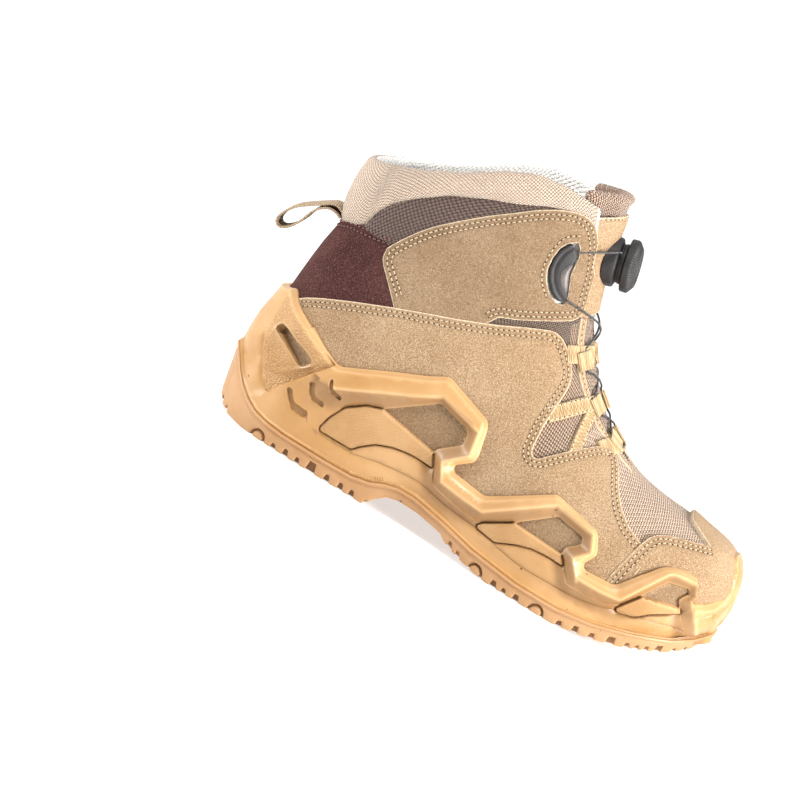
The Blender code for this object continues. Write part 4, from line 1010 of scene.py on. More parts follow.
# the cage: the moulded rubber frame round the upper, drawn on its own form
cageShape = {
    "backTop": 75.4, "wallLow": 0.9, "bevelWidth": 2.3, "bevelLow": -3.3, "bevelHigh": -0.1, "crest": 2.2,
    "windowLevel": -3.4, "bodyLevel": -0.8, "panelLevel": -1.7, "grooveWidth": 0.55, "grooveDeep": 1.5,
    "slotDeep": 1.5, "spacing": 1.5,
    "top": (
        (9, 82), (14, 75.8), (20, 71.2), (30, 65.6), (40, 61.2), (48, 58), (52, 57.4), (60, 61), (75, 68.1),
        (95, 77.2), (104.5, 82.6), (106.5, 82.7), (134, 73.8), (136.6, 70), (139.7, 54.5), (139.3, 50.2),
        (131.5, 43.8), (131.3, 42), (133, 39.8), (135, 39.6), (152, 37.4), (154.5, 37.9), (186, 59),
        (188.5, 59.4), (214, 54.3), (217, 52), (221.6, 42.5), (221.2, 40.3), (218.3, 34.8), (218.3, 33),
        (220, 31), (237, 31.8), (240, 33.4), (256, 55.5), (262, 59.2), (270, 60.9), (275.6, 60.4), (281, 52),
        (281.2, 49), (280.2, 46.8), (281.6, 44.8), (287, 47.8), (292, 52.8), (294.3, 58), (294.3, 65),
        (290, 75), (285, 81),
    ),
    "windows": (
        ((12.3, 59.3), (14.3, 62.4), (18, 61.2), (25, 58), (34, 55), (38.2, 52), (37.4, 50), (34.5, 46.8),
         (31.8, 47), (25, 51), (13, 57.2)),
        ((83.5, 49.6), (108.5, 68.4), (127, 64.1), (129, 61), (129.4, 55.4), (128.3, 54), (119.3, 46.4),
         (118.2, 43.7)),
        ((174.6, 33.6), (193.3, 49.5), (210, 46.8), (211.6, 42.6), (205.2, 36.6), (205, 32.2)),
        ((254.2, 34.4), (263.2, 49.6), (275, 52.2), (277, 50), (273.6, 43.4), (276.3, 39.4)),
    ),
    "panels": (
        ((83.5, 49.6), (75, 46.6), (66, 40), (61.3, 31.5), (59.3, 24), (60.6, 22.2), (80, 22.3), (84, 26),
         (90, 31), (98, 34.2), (105, 35.6), (112, 36.2), (122.5, 35.8), (118.2, 43.7)),
        ((174.6, 33.6), (160, 24.6), (157.6, 22), (159, 20.1), (171, 18.3), (176, 20.9), (182, 23.6),
         (190, 26), (199, 26.8), (209.5, 26.6), (205, 32.2)),
        ((254.2, 34.4), (245.4, 22.4), (246, 20.3), (248, 19.9), (257, 22.6), (263, 28), (278.5, 37.6),
         (276.3, 39.4)),
    ),
    "slots": (
        ((33.8, 33), (35, 34.6), (36.8, 34.2), (40, 30), (42, 28.3), (49, 28), (51, 27), (51, 25.3),
         (48.5, 24.4), (41, 25), (38, 28)),
        ((42.5, 42), (44, 43.6), (45.5, 43.3), (48, 38.6), (49.5, 37), (55, 36.4), (56, 35), (55.4, 33.7),
         (48, 34.5), (46, 36.5)),
        ((51.8, 49.4), (53.3, 50.4), (55.5, 46.6), (56.5, 45.5), (61, 44.4), (62, 43), (61, 41.8),
         (55, 43.4)),
    ),
    "crests": (
        ((55.5, 46.6), (65, 51), (80, 58.4), (95, 65.3), (108.3, 72.5), (134.2, 65.6), (136.6, 52),
         (125.6, 42.3), (131, 33.2)),
        ((131, 33.2), (145, 31.6), (157, 30.6), (190, 54), (214.5, 50), (218.6, 41), (211.6, 34),
         (219, 25.5)),
        ((219, 26.4), (232, 26.6), (244, 27.8), (252, 41), (260, 53), (263, 54.6), (277, 56.2), (279.6, 50),
         (280, 44.6), (288, 34)),
    ),
    "posts": (
        ((119.2, 43.4), (127, 29.6), (140, 27), (158, 24)),
        ((206, 31.5), (215.5, 20.6), (232, 21.6), (245, 24)),
        ((277.2, 38), (282.4, 31)),
    ),
    "postReach": 3.5, "postProud": 0.9,
    "shoulder": ((25.5, 25.5), (33, 35), (42, 46), (52, 57.3)),
    "cup": (
        (10, 79), (14, 74.6), (20, 70), (30, 64.4), (40, 60), (50, 56.4), (41, 46), (33, 35.5), (27, 27),
        (24, 27), (20.5, 30), (16, 37), (12, 44), (9, 52), (7.5, 65), (8, 76),
    ),
    "cupLine": ((12.4, 56.8), (12.6, 53), (18, 42.4), (22, 38.8), (26, 38.6), (33, 44.5), (38.5, 49.5)),
    "sideLine": ((24, 27), (20.5, 30), (18.5, 32), (16, 37), (13, 42), (11, 46), (8.5, 52)),
    "lowLine": (
        (58, 21.2), (60, 21), (80, 21), (95, 23.8), (115, 26), (125, 25.5), (140, 23), (160, 20),
        (185, 15.7), (200, 15.1), (220, 16), (240, 19), (255, 23), (282, 31),
    ),
    "rand": ((283.5, 40), (288, 43), (294, 48.5), (297, 55), (297.3, 62), (296, 70), (291.5, 77),
             (285, 81.5)),
}


def chartPlaceAtHeight(form, turn, height):
    places = np.linspace(heelRow, lastRow, 400)
    heights = form(places, np.full(400, float(turn)))[:, 2]
    return float(np.interp(height, heights, places))


def cageOutline():
    top = chartOf(cageForm, drawn(cageShape["top"], 1.6))
    top = top[top[:, 1] < 0.494]
    backPlace = chartPlaceAtHeight(cageForm, 0, cageShape["backTop"])
    top = np.vstack(((backPlace, 0), top, (top[-1, 0], 0.5)))
    top = evenChart(cageForm, top, 0.7)
    ridge = pair(np.linspace(top[-1, 0], 0, 40)[1:], np.full(39, 0.5))
    down = pair(np.zeros(20), np.linspace(0, float(skirtTurn(np.zeros(1))[0]), 21)[1:])
    places = np.concatenate((np.linspace(0, 2, 60)[1:], np.linspace(2, 15, 330)[1:],
        np.linspace(15, heelRow, 50)[1:]))
    bottom = pair(places, skirtTurn(places))
    heel = pair(np.full(19, float(heelRow)), np.linspace(bottom[-1, 1], 0, 20)[1:])
    back = pair(np.linspace(heelRow, backPlace, 30)[1:-1], np.zeros(28))
    return top, bottom, np.vstack((top, ridge, down, bottom, heel, back))


# how far points lie from a line over the form, positive on its left in the chart
def signedDistance(form, points, line):
    at, along, across, _ = formFrame(form, evenChart(form, line, 0.35))
    left = np.cross(unit(np.cross(along, across)), unit(np.gradient(at, axis=0)))
    index, away = nearest(treeOf(at), points)
    return away * np.sign(((points - at[index]) * left[index]).sum(axis=1))


def insideAny(flat, outlines):
    return np.any([inside(flat, flatOf(outline)) for outline in outlines], axis=0)


# The inner half of the cage: the last's sections are not quite alike on both sides.
def mirrorPoints(chart, normal, depth):
    place, turn = chart[:, 0], chart[:, 1]
    up = np.maximum(turn, 0)
    arch = lastAt(place, 1 - up, cageDepth(place, up))
    down = np.where(turn < 0, turn / np.minimum(skirtTurn(place), -1e-6), 0)
    base = arch + (soleRing(place, 1) - arch) * down[:, None]
    return base + normal * np.array((1, -1, 1)) * np.asarray(depth)[:, None]


def makeCage():
    shape = cageShape
    form = cageForm
    top, bottom, outline = cageOutline()
    draw = lambda key, closed=True, radius=1.2: [chartOf(form, drawn(o, radius, closed)) for o in shape[key]]
    windows, panels, slots = draw("windows"), draw("panels"), draw("slots", True, 1.0)
    crests, posts = draw("crests", False, 0.6), draw("posts", False, 1.5)
    shoulder, cupLine, sideLine, lowLine, rand = (
        chartOf(form, smoothLine(shape[key])) for key in ("shoulder", "cupLine", "sideLine", "lowLine",
            "rand"))
    bevelWidth, width, body = shape["bevelWidth"], shape["grooveWidth"], shape["bodyLevel"]
    lines = [(c, (0, 0.45, -0.45, 1.3, -1.3), False) for c in crests]
    lines += [(p, (0, width * 0.6, -width * 0.6, width * 1.3, -width * 1.3), True) for p in panels]
    lines += [(s, (0, 0.3, 0.65, -0.3, -0.7), True) for s in slots]
    lines += [(p, (0, 0.5, -0.5, 1.0), False) for p in posts]
    lines += [(shoulder, (0, 0.6, -0.6, 1.3, -1.3), False), (cupLine, (0, 0.5, -0.5), False)]
    lines += [(sideLine, (0, 0.5, -0.5), False), (lowLine, (0, 0.45, -0.45), False),
        (rand, (0, 0.5, -0.5), False)]
    chart, tris = chartMesh(form, outline, windows, lines, shape["spacing"],
        (0.4, bevelWidth * 0.5, bevelWidth))
    print("cage triangles on one side", len(tris))
    base, _, _, normal = formFrame(form, chart)
    ahead = np.clip(1.0 - chart[:, 0], 0, 1)[:, None] * (chart[:, 1] >= 0)[:, None]
    normal = unit(normal * (1 - ahead) + np.array((1.0, 0, 0)) * ahead)
    flat, view = flatOf(chart), viewOf(base)
    toTop, toBottom, toLow = (awayFrom(form, [line], base) for line in (top, bottom, lowLine))
    toWindow, toPanel, toSlot = (awayFrom(form, loops, base, True) for loops in (windows, panels, slots))
    inPanel, inSlot = insideAny(flat, panels), insideAny(flat, slots)

    # rails: a bevel, a face up to the crest, and a face down to the window
    crestDistance = np.full(len(chart), 1e3)
    for line in crests:
        crestDistance = np.minimum(crestDistance, np.abs(signedDistance(form, base, line)))
    beyond = np.minimum(toWindow, toPanel)
    upper = np.maximum(toTop - bevelWidth, 0)
    crest, share = shape["crest"], upper / (upper + crestDistance + 1e-6)
    face = shape["bevelHigh"] + (crest - shape["bevelHigh"]) * share
    share = crestDistance / (crestDistance + beyond + 1e-6)
    under = crest + (shape["windowLevel"] - crest) * share
    # the crest's lower side is the one away from the outline
    crestPoints = np.concatenate([form(*c.T) for c in crests])
    isUpper = toTop < awayFrom(form, [top], crestPoints)[nearest(treeOf(crestPoints), base)[0]]
    fade = 1 - softStep(crestDistance, 9.5, 15)
    reach = np.where(isUpper, 1 - softStep(crestDistance, 12, 20), fade)
    relief = body + (np.where(isUpper, face, under) - body) * reach
    bevel = np.clip(toTop / bevelWidth, 0, 1)
    bevelFace = shape["bevelLow"] + (shape["bevelHigh"] - shape["bevelLow"]) * bevel
    relief = np.where(toTop < bevelWidth, bevelFace, relief)
    relief = np.minimum(relief, shape["windowLevel"] + 1.1 * toWindow + 0.4)
    # painted highlight: the crests and the line inside the outline bevel are lightened
    ridge = bell(crestDistance, 0.9) + 0.8 * bell(toTop - bevelWidth, 0.8)
    # painted shade: the rails' lower faces, turned down to the windows, and the window edges are darkened
    shade = np.where(isUpper, 0, fade * softStep(crestDistance, 0.4, 1.6) * softStep(beyond, 0.2, 0.8))
    shade = shade + 0.5 * softStep(toWindow, 2.2, 0.4)

    # heel cup lower than the block beside it
    cup = shape["cup"]
    inCup = inside(view, np.array((*cup[6:10], (18, 20), (-30, 20), (-30, 95), (9, 82), *cup[1:6])))
    near = np.abs(signedDistance(form, base, shoulder))
    lowered = -2.1 * bell(near, 10) * softStep(near, 0.2, 1.2)
    relief = np.where(inCup, np.minimum(relief, 0.0) * (toTop < 2.3) + lowered, relief)
    relief += np.where(~inCup & (near < 6) & (view[:, 0] < 56), 1.1 * bell(near, 2.2), 0)
    for post in posts:  # posts stand out over the panels
        signed = signedDistance(form, base, post)
        near = np.abs(signed)
        swell = shape["postProud"] * np.where(signed > 0, 1, 0) * bell(near, shape["postReach"])
        relief += swell * softStep(near, -0.1, 0.6)

    # inset panels, their dark grooves, and the chevron slots
    relief = np.where(inPanel, shape["panelLevel"], relief)
    groove = bell(toPanel, width) * softStep(toWindow, 0.3, 1.8)
    relief -= shape["grooveDeep"] * groove
    relief -= np.where(inSlot, shape["slotDeep"] * softStep(toSlot, -0.05, 0.4), 0)
    relief += np.where(~inSlot, 0.3 * bell(toSlot - 0.35, 0.35), 0)
    # painted shade: the slot floors are darkened
    shade = np.maximum(shade, np.where(inSlot, 0.4, 0))
    relief -= 0.55 * bell(toLow, 0.45)
    beside = softStep(0.5 - chart[:, 1], 0.03, 0.10)  # the bumper is plain where both halves meet
    for line, deep, wide in ((cupLine, -0.9, 0.8), (sideLine, 0.9, 0.8), (rand, 0.9 * beside, 0.7)):
        relief -= deep * bell(awayFrom(form, [line], base), wide)
    plain = np.minimum(shape["bevelLow"] + (0.4 - shape["bevelLow"]) * bevel, 0.4)
    relief = relief * beside + plain * (1 - beside)
    pebble = inside(view, np.array(cup)) * softStep(toTop, 1.5, 3.0) * softStep(toWindow, 0.8, 2.0)
    pebble = pebble * softStep(nearest(treeOf(drawn(cup, 1, True)), view)[1], 0.2, 1.6)
    relief += 0.8 * bell(toBottom - 1.1, 0.8) - 0.4 * bell(toBottom - 2.6, 0.5)

    # shade carries painted shade, ridge painted highlight; groove darkens the grooves and, as painted shade,
    # the slot floors
    attributes = {
        "rim": np.minimum(toTop, toWindow), "shade": np.clip(shade, 0, 1) * ~inPanel,
        "groove": np.maximum.reduce((groove, 0.5 * bell(toLow, 0.4), 0.14 * inSlot)),
        "ridge": np.clip(ridge, 0, 1) * ~inPanel, "pebble": pebble,
        "dots": inPanel * softStep(toPanel, 1.5, 2.6),
        "flat": flatData(chart),
    }
    inward = shape["wallLow"] - cageDepth(chart[:, 0], np.maximum(chart[:, 1], 0))
    outer, hidden = (base + normal * deep[:, None] for deep in (relief, inward))
    other, otherHidden = (mirrorPoints(chart, normal, deep) for deep in (relief, inward))
    # both halves are open where they meet, at the heel and over the toe
    middle = np.abs(base[:, 1] - mirrorPoints(chart, normal, 0 * relief)[:, 1]) < 0.02
    faces = [f for f in shellFaces(tris, len(chart)) if not (len(f) == 4 and middle[f[0]] and middle[f[1]])]
    faces += [tuple(i + 2 * len(chart) for i in reversed(f)) for f in faces]
    cage = addObject("midsole_cage_rubber", np.concatenate((outer, hidden, other, otherHidden)), faces,
        paints["cage"], twice(twice(attributes)), 32)
    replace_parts(cage, "midsole_cage")


makeCage()
print("cage ready")

# the outsole: a wall of lugs on each side, and the tread block between them
treadShape = {
    "proud": 0.8, "toeSink": 2.2, "deep": 9.0, "spacing": 1.7, "beadHigh": 0.7, "notchRise": 1.35,
    "beadWide": 1.9,
    # notches between the lugs: where, how wide, how high
    "notches": (
        (45.5, 2.6, 2.2), (53, 2.6, 3.0), (60.5, 2.4, 2.6), (69, 4.6, 4.2), (79, 2.6, 3.0), (87.5, 2.6, 3.0),
        (94.5, 2.6, 2.8), (103, 2.0, 2.0), (154, 3.0, 2.6), (160, 2.6, 2.2), (184.5, 3.0, 2.8),
        (191, 2.4, 2.2), (198.5, 3.0, 2.8), (225, 2.8, 2.4), (234, 3.0, 3.0), (243, 3.0, 2.6),
        (253, 4.4, 3.4), (261.5, 2.6, 2.4), (266.5, 2.4, 2.2), (271, 2.6, 2.4), (276.5, 4.0, 3.4),
        (283.5, 2.6, 2.2), (288, 2.6, 2.2), (293, 2.4, 2.0),
    ),
    "backNotches": ((24.0, 2.6, 2.4), (15.0, 3.0, 2.8)),
    "moons": (35.2, 172.4, 211.0), "moonRadius": 4.1, "moonHigh": 0.4, "moonDeep": 2.4, "moonWide": 0.85,
    "chevrons": (40, 54, 68, 82, 172, 186, 200, 214, 228, 242), "chevronArm": 17, "chevronWidth": 3,
    "chevronDepth": 4, "chevronAngle": math.radians(35), "blockInset": 4.0,
}
floorLine = {
    "x": (-12, 1, 4, 8, 14, 24, 103, 106, 112, 118, 130, 146, 150, 156, 164, 172, 180, 222, 240, 255,
          270, 280, 290, 297, 312),
    "z": (18, 9.5, 6.2, 3.2, 1.2, 0, 0, 5, 10, 11.7, 11.6, 9.2, 6.6, 4.4, 2.5, 1, 0, 0, 2.2, 5.2, 9.5, 13,
          18, 24, 38),
}


def treadForm(side):
    def form(place, turn):
        top, low = treadRings(place, side)
        drop = (0.5 - turn) * girth(place)
        return top + (low - top) * (drop / np.maximum(size(low - top), 1e-3))[..., None]
    return form


def treadRings(place, side):
    proud = treadShape["proud"] - treadShape["toeSink"] * bell(np.minimum(place, heelRow), 1.1)
    return [soleRing(place, side, key, line, proud) for key,
        line in (("flangeOut", flangeLine), ("floorOut", floorLine))]


def makeTread(side, word):
    shape = treadShape
    form = treadForm(side)
    places = np.concatenate((np.linspace(0, 2, 90), np.linspace(2, 15, 380)[1:],
        np.linspace(15, heelRow, 90)[1:]))
    top, low = treadRings(places, side)
    length = size(low - top)
    run = runOf(low)
    runAt = lambda x: np.interp(x, low[::-1, 0], run[::-1])
    placeAt = lambda r: np.interp(r, run, places)
    # the bottom line steps up over every notch
    steps = [(0.0, 0.0)]
    notches = [(runAt(x), width, high * shape["notchRise"]) for x, width, high in shape["notches"]]
    notches += [(run[-1] - x, width, high) for x, width, high in shape["backNotches"]]
    for middle, width, high in sorted(notches):
        start, end = middle - width / 2, middle + width / 2
        if start - 1.0 >= steps[-1][0]:
            steps += [(start - 0.9, 0.0), (start + 0.4, high), (end - 0.2, high), (end + 0.5, 0.0)]
    even = evenly([*steps, (run[-1], 0.0)], 0.5)
    lowPlaces = placeAt(even[:, 0])
    lowTurns = 0.5 - (np.interp(lowPlaces, places, length) - even[:, 1]) / np.maximum(girth(lowPlaces), 1e-3)
    bottom = pair(lowPlaces, lowTurns)
    topLine = evenly(pair(places, np.full(len(places), 0.5)), 0.4, False, top)[::-1]
    rise = np.linspace(0, 1, 12)[1:-1]
    heelEnd = pair(np.full(10, float(heelRow)), bottom[-1, 1] + (0.5 - bottom[-1, 1]) * rise)
    toeEnd = pair(np.zeros(10), 0.5 + (bottom[0, 1] - 0.5) * rise)
    outline = np.vstack((bottom, heelEnd, topLine, toeEnd))
    moons = []
    turns = np.linspace(-0.12, math.pi + 0.12, 60)
    for x in shape["moons"]:
        high = np.maximum(shape["moonHigh"] + shape["moonRadius"] * np.sin(turns), 0.02)
        at = placeAt(runAt(x) + shape["moonRadius"] * np.cos(turns))
        moons.append(pair(at, 0.5 - (np.interp(at, places, length) - high) / girth(at)))
    bead = pair(places, 0.5 - shape["beadWide"] / np.maximum(girth(places), 1e-3))[6:]
    wide = shape["moonWide"]
    lines = [(m, (0, wide * 0.7, -wide * 0.7, wide * 1.4, -wide * 1.4), False) for m in moons]
    lines.append((evenChart(form, bead, 0.8), (0, 0.6, -0.6), False))
    chart, tris = chartMesh(form, outline, (), lines, shape["spacing"], (0.35, 0.9))
    base, along, across, _ = formFrame(form, chart)
    normal = unit(np.cross(across, along)) * (-side)
    toMoon, toLow = (awayFrom(form, loops, base) for loops in (moons, [bottom]))
    drop = (0.5 - chart[:, 1]) * girth(chart[:, 0])
    groove = bell(toMoon, wide)
    relief = -shape["moonDeep"] * groove - 0.35 * bell(toLow, 0.45)
    relief += shape["beadHigh"] * bell(drop - 0.9, 0.75) - 0.45 * bell(drop - 2.5, 0.6)
    relief *= np.clip(chart[:, 0] / 0.8, 0, 1)
    outer = base + normal * relief[:, None]
    hidden = base - normal * np.array((1, 1, 0)) * shape["deep"]
    faces = shellFaces(tris, len(chart))
    faces = flippedFaces(faces) if side > 0 else faces
    attributes = {"rim": np.minimum(toLow, 5) + 0.6, "groove": groove * 0.45, "pebble": 0 * drop,
                  "dots": 0 * drop,
                  "flat": flatData(chart)}
    made = addObject("outsole_lugs_" + word, np.concatenate((outer, hidden)), faces, paints["tread"],
        twice(attributes), 35)
    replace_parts(made, "outsole")


def boxAt(size, matrix):
    corners = [Vector((x, y, z)) for x in (-0.5, 0.5) for y in (-0.5, 0.5) for z in (-0.5, 0.5)]
    return [matrix @ Vector((c.x * size[0], c.y * size[1], c.z * size[2])) for c in corners]


def makeTreadBlock():
    shape = treadShape
    places = np.linspace(0.35, 16.6, 110)
    columns = 9
    rows = []
    for line, drop in ((floorLine, 0), (flangeLine, -0.4)):
        outer, inner = (featherOutline(places, section(places)["floorOut"] - shape["blockInset"],
            s) for s in (-1, 1))
        share = np.linspace(0, 1, columns)[None, :, None]
        plan = outer[:, None] * (1 - share) + inner[:, None] * share
        height = np.interp(plan[..., 0], line["x"], line["z"]) + drop
        rows.append(np.concatenate((plan, height[..., None]), axis=-1).reshape(-1, 3))
    count = len(rows[0])
    corners = [r * columns + c for r in range(len(places) - 1) for c in range(columns - 1)]
    tris = np.array([t for a in corners for t in ((a, a + 1, a + columns + 1),
        (a, a + columns + 1, a + columns))])
    block = addObject("outsole_tread_block", np.concatenate((rows[1], rows[0])), shellFaces(tris, count),
        paints["tread"], {"rim": np.full(2 * count, 3.0)}, 35)
    points, faces = [], []
    cube = ((0, 1, 3, 2), (4, 6, 7, 5), (0, 4, 5, 1), (2, 3, 7, 6), (0, 2, 6, 4), (1, 5, 7, 3))
    for x in shape["chevrons"]:
        for side in (-1, 1):
            top = np.interp(x, floorLine["x"], floorLine["z"]) + shape["chevronDepth"]
            place = Matrix.Translation((x, 0,
                (top - 8) / 2)) @ Matrix.Rotation(-side * shape["chevronAngle"], 4, "Z")
            place = place @ Matrix.Translation((0, side * (shape["chevronArm"] / 2 + 1.5), 0))
            start = len(points)
            points += boxAt((shape["chevronWidth"], shape["chevronArm"], top + 8), place)
            faces += [tuple(start + i for i in f) for f in cube]
    cutter = addObject("chevron_cutter", [tuple(p) for p in points], faces, paints["tread"], None, 35, False)
    faceOutwards(block)
    cut = block.modifiers.new("chevrons", "BOOLEAN")
    cut.operation, cut.solver, cut.object = "DIFFERENCE", "EXACT", cutter
    graph = bpy.context.evaluated_depsgraph_get()
    mesh = bpy.data.meshes.new_from_object(block.evaluated_get(graph), preserve_all_data_layers=True,
        depsgraph=graph)
    old = block.data
    block.modifiers.clear()
    block.data = mesh
    bpy.data.meshes.remove(old)
    bpy.data.objects.remove(cutter, do_unlink=True)
    mesh.set_sharp_from_angle(angle=math.radians(35))


for side, word in sides:
    makeTread(side, word)
makeTreadBlock()
print("outsole ready")

# Cut pieces of the upper: each is drawn on the last, raised by its thickness, stitched and creased.
# Soft troughs and ridges of the whole upper: line in the side view, height, half width.
upperCreases = (
    (((163, 68), (158, 60), (156, 50), (158, 42)), -0.7, 6.0),
    (((150, 118), (140, 100), (133, 88)), -0.8, 9.0),
    (((166, 66), (174, 62), (183, 63)), 0.7, 5.0),
    (((205, 88), (212, 74), (222, 64), (232, 56)), 0.5, 4.5),
    (((120, 112), (100, 98), (80, 90), (60, 82)), 0.6, 9.0),
    (((60, 118), (75, 135), (95, 150)), -0.7, 8.0),
    (((132, 176), (120, 160), (104, 150), (86, 146)), 0.8, 10.0),
    (((128, 146), (112, 140), (98, 128), (84, 118)), -0.6, 7.0),
    (((22, 118), (34, 112), (46, 114)), -0.5, 6.0),
    (((196, 78), (206, 66), (214, 60)), -0.45, 5.0),
    (((250, 64), (262, 66), (276, 66)), 0.5, 5.0),
)
lastSkin = skinForm(0.0)


def creaseTree(line):
    return treeOf(lastPoint(*chartOf(lastSkin, smoothLine(line, 2.0)).T))


creaseTrees = [(creaseTree(line), high, wide) for line, high, wide in upperCreases]


# height of the creases; the inner half repeats the outer one
def upperWaves(place, turn):
    turn = np.abs(turn)
    points = lastPoint(place, np.where(turn > 0.5, 1 - turn, turn))
    high = np.zeros(len(points))
    for tree, height, wide in creaseTrees:
        high += height * bell(nearest(tree, points)[1], wide)
    return high


def aroundForm(depth):
    # the same skin carried on past the back of the heel, where turn runs below 0
    return lambda place, turn: lastAt(place, np.mod(turn, 1.0), np.full(np.shape(turn), float(depth)))


def mirrored(chart):
    return pair(chart[:, 0], 1 - chart[:, 1])


# half an outline closed over the ridge (turn 0.5) or round the heel (turn 0)
def bothHalves(half, middle):
    return np.vstack((half, pair(half[:, 0], 2 * middle - half[:, 1])[::-1]))


def roundRise(away, reach):
    return np.sqrt(np.clip(1 - (1 - np.clip(away / reach, 0, 1)) ** 2, 0, 1))


skinThick = 0.4


# spec: top and low depth, cut edge share, edge roundness, lap and puff; rows are the lines of stitches
def makePatch(name, outline, paint, spec, side=-1, form=lastSkin, holes=(), rows=()):
    rows = [evenChart(form, r, 0.8) for r in rows]
    lines = [(r, (0, 0.5, -0.5), False) for r in rows]
    outline, *holes = [evenChart(form, loop, 0.75, True) for loop in (outline, *holes)]
    chart, tris = chartMesh(form, outline, holes, lines, spec.get("spacing", 1.7), (0.3, 0.8, 1.6))
    base = form(*chart.T)
    away = awayFrom(form, (outline, *holes), base, True)
    rise = spec["edge"] + (1 - spec["edge"]) * roundRise(away, spec["round"])
    high = spec["low"] + (spec["top"] - spec["low"]) * rise
    high += spec.get("lap", 0.0) * np.exp(-((away / spec.get("lapReach", 1.0)) ** 2))
    high += spec.get("puff", 0.0) * roundRise(away, spec.get("puffReach", 1.0))
    high += upperWaves(*chart.T) * spec.get("waves", 1.0)
    high += spec.get("bumpy", 0.0) * rng.normal(0, 1, len(high))
    pressAndShade = np.zeros(len(high))
    if rows:
        toRow = awayFrom(form, rows, base)
        pressAndShade = bell(toRow, 0.55)
        high -= spec.get("rowDeep", 0.3) * bell(toRow, 0.9)
    view = viewOf(base)
    # painted shade and dust: the suede inside the cage's windows is darkened
    for window in spec.get("shadeIn", ()):  # dust and shade settle in the cage's windows
        pressAndShade = np.maximum(pressAndShade, 0.8 * inside(view, np.array(window)))
    skin, _, _, normal = formFrame(form, mirrored(chart) if side > 0 else chart)
    points = np.concatenate((skin + normal * high[:, None], skin + normal * (spec["low"] - skinThick)))
    faces = shellFaces(tris, len(chart))
    faces = flippedFaces(faces) if side > 0 else faces
    return addObject(name, points, faces, paint,
        twice({"rim": away, "pressAndShade": pressAndShade, "flat": flatData(chart)}), 50)


# stitches: short fat capsules sunk at both ends, with a near-black disc between them as the painted shade of
# a needle hole
stitchShape = {
    "long": 1.9, "gap": 0.95, "radius": 0.38, "lift": 0.14, "sides": 6, "hole": 0.41,
    # rings along a stitch: share of its length, size, lift
    "rings": ((0.0, 0.25, -0.30), (0.12, 0.85, -0.05), (0.5, 1.0, 0.12), (0.88, 0.85, -0.05),
              (1.0, 0.25, -0.30)),
}


def capsule(start, end, up):
    shape = stitchShape
    radius, sides = shape["radius"], shape["sides"]
    way = unit(end - start)
    side = unit(np.cross(way, up))
    up = np.cross(side, way)
    points = []
    for share, wide, lift in shape["rings"]:
        middle = start + (end - start) * share + up * lift * radius * 2
        for turn in (2 * math.pi * i / sides for i in range(sides)):
            points.append(middle + (side * math.cos(turn) + up * math.sin(turn)) * radius * wide)
    ends = [tuple(reversed(range(sides))), tuple(range(len(points) - sides, len(points)))]
    return points, ringFaces(len(shape["rings"]), sides) + ends


class Stitching:
    def __init__(self):
        self.points, self.faces, self.holes, self.holeFaces = [], [], [], []

    def row(self, form, line, top, side=-1, waves=1.0):
        shape = stitchShape
        pitch = shape["long"] + shape["gap"]
        dense = evenChart(form, line, 0.25)
        length = size(np.diff(form(*dense.T), axis=0)).sum()
        count = int(length // pitch)
        if count < 1:
            return
        starts = (np.arange(count) + 0.5 * rng.uniform(0.9, 1.1)) * length / count
        marks = pair(starts - shape["long"] / 2, starts + shape["long"] / 2, starts + pitch / 2)
        marks = marks + rng.normal(0, 0.05, (count, 3))
        total = np.linspace(0, length, len(dense))
        place, turn = (np.interp(marks, total, column).ravel() for column in dense.T)
        high = top + waves * upperWaves(place, turn) + shape["lift"]
        points, _, _, normal = formFrame(form, pair(place, 1 - turn if side > 0 else turn))
        points = points + normal * high[:, None]
        for i in range(0, 3 * count, 3):
            start, end, hole = points[i:i + 3]
            made, faces = capsule(start, end, normal[i])
            self.faces += [tuple(len(self.points) + k for k in f) for f in faces]
            self.points += made
            self.addHole(hole - normal[i] * 0.02, normal[i + 2], unit(end - start), shape["hole"])

    def addHole(self, middle, up, way, radius):
        side = np.cross(up, way)
        first = len(self.holes)
        for lift in (0.03, -0.35):
            for turn in (math.pi * i / 3 for i in range(6)):
                out = way * math.cos(turn) + side * math.sin(turn)
                self.holes.append(middle + out * radius + up * lift)
        faces = [tuple(range(6)), tuple(reversed(range(6, 12)))]
        faces += [(i, 6 + i, 6 + (i + 1) % 6, (i + 1) % 6) for i in range(6)]
        self.holeFaces += [tuple(first + k for k in f) for f in faces]

    def finish(self, name, paint, holePaint):
        parts = ((name, self.points, self.faces, paint),
            (name + "_holes", self.holes, self.holeFaces, holePaint))
        for name, points, faces, paint in parts:
            addObject(name, points, faces, paint, {"rim": np.full(len(points), 5.0)}, 60)


def backPlace(height):
    return chartPlaceAtHeight(lastSkin, 0.0, height)


quarterTop = (
    (10, 70), (12.5, 74.5), (17, 79.5), (25, 84), (40, 91), (61, 99.7), (80, 107), (90, 110.6), (113, 120),
    (125, 126), (135, 130.6), (141, 133), (146.5, 132), (152.5, 128), (158.5, 121.8), (162, 116), (163, 108),
    (162, 86), (163.2, 72), (165.5, 69.4), (168.2, 69.6), (178, 79.5), (189, 89.6), (194, 93.4),
    (198.5, 94.4), (204, 92), (209, 86), (213, 79), (220, 70), (229, 63), (238.5, 59.5),
)
quarterLow = (
    (246, 52), (244, 40), (240, 29), (215, 25.5), (190, 25), (150, 27), (100, 31), (60, 31), (36, 32),
    (20, 36), (12, 46), (7.5, 58),
)
flapTop = (
    (44.5, 131), (50, 139.5), (57, 148), (70, 160), (80, 168.5), (90, 176), (100, 184), (110, 190),
    (118, 193.4), (125, 194.4), (131, 192.6), (136.5, 186),
)
flapRest = (
    (144, 170), (149, 152), (149.3, 147), (147, 143), (140, 138.5), (130, 132.8), (120, 127.4),
    (114.5, 125.2), (111.5, 124.0), (110.0, 121.6), (108, 118), (104, 115),
    (92, 105), (74, 94), (68, 92), (58, 102.5), (50, 110.5), (44, 116), (41.5, 120), (41.3, 125),
)
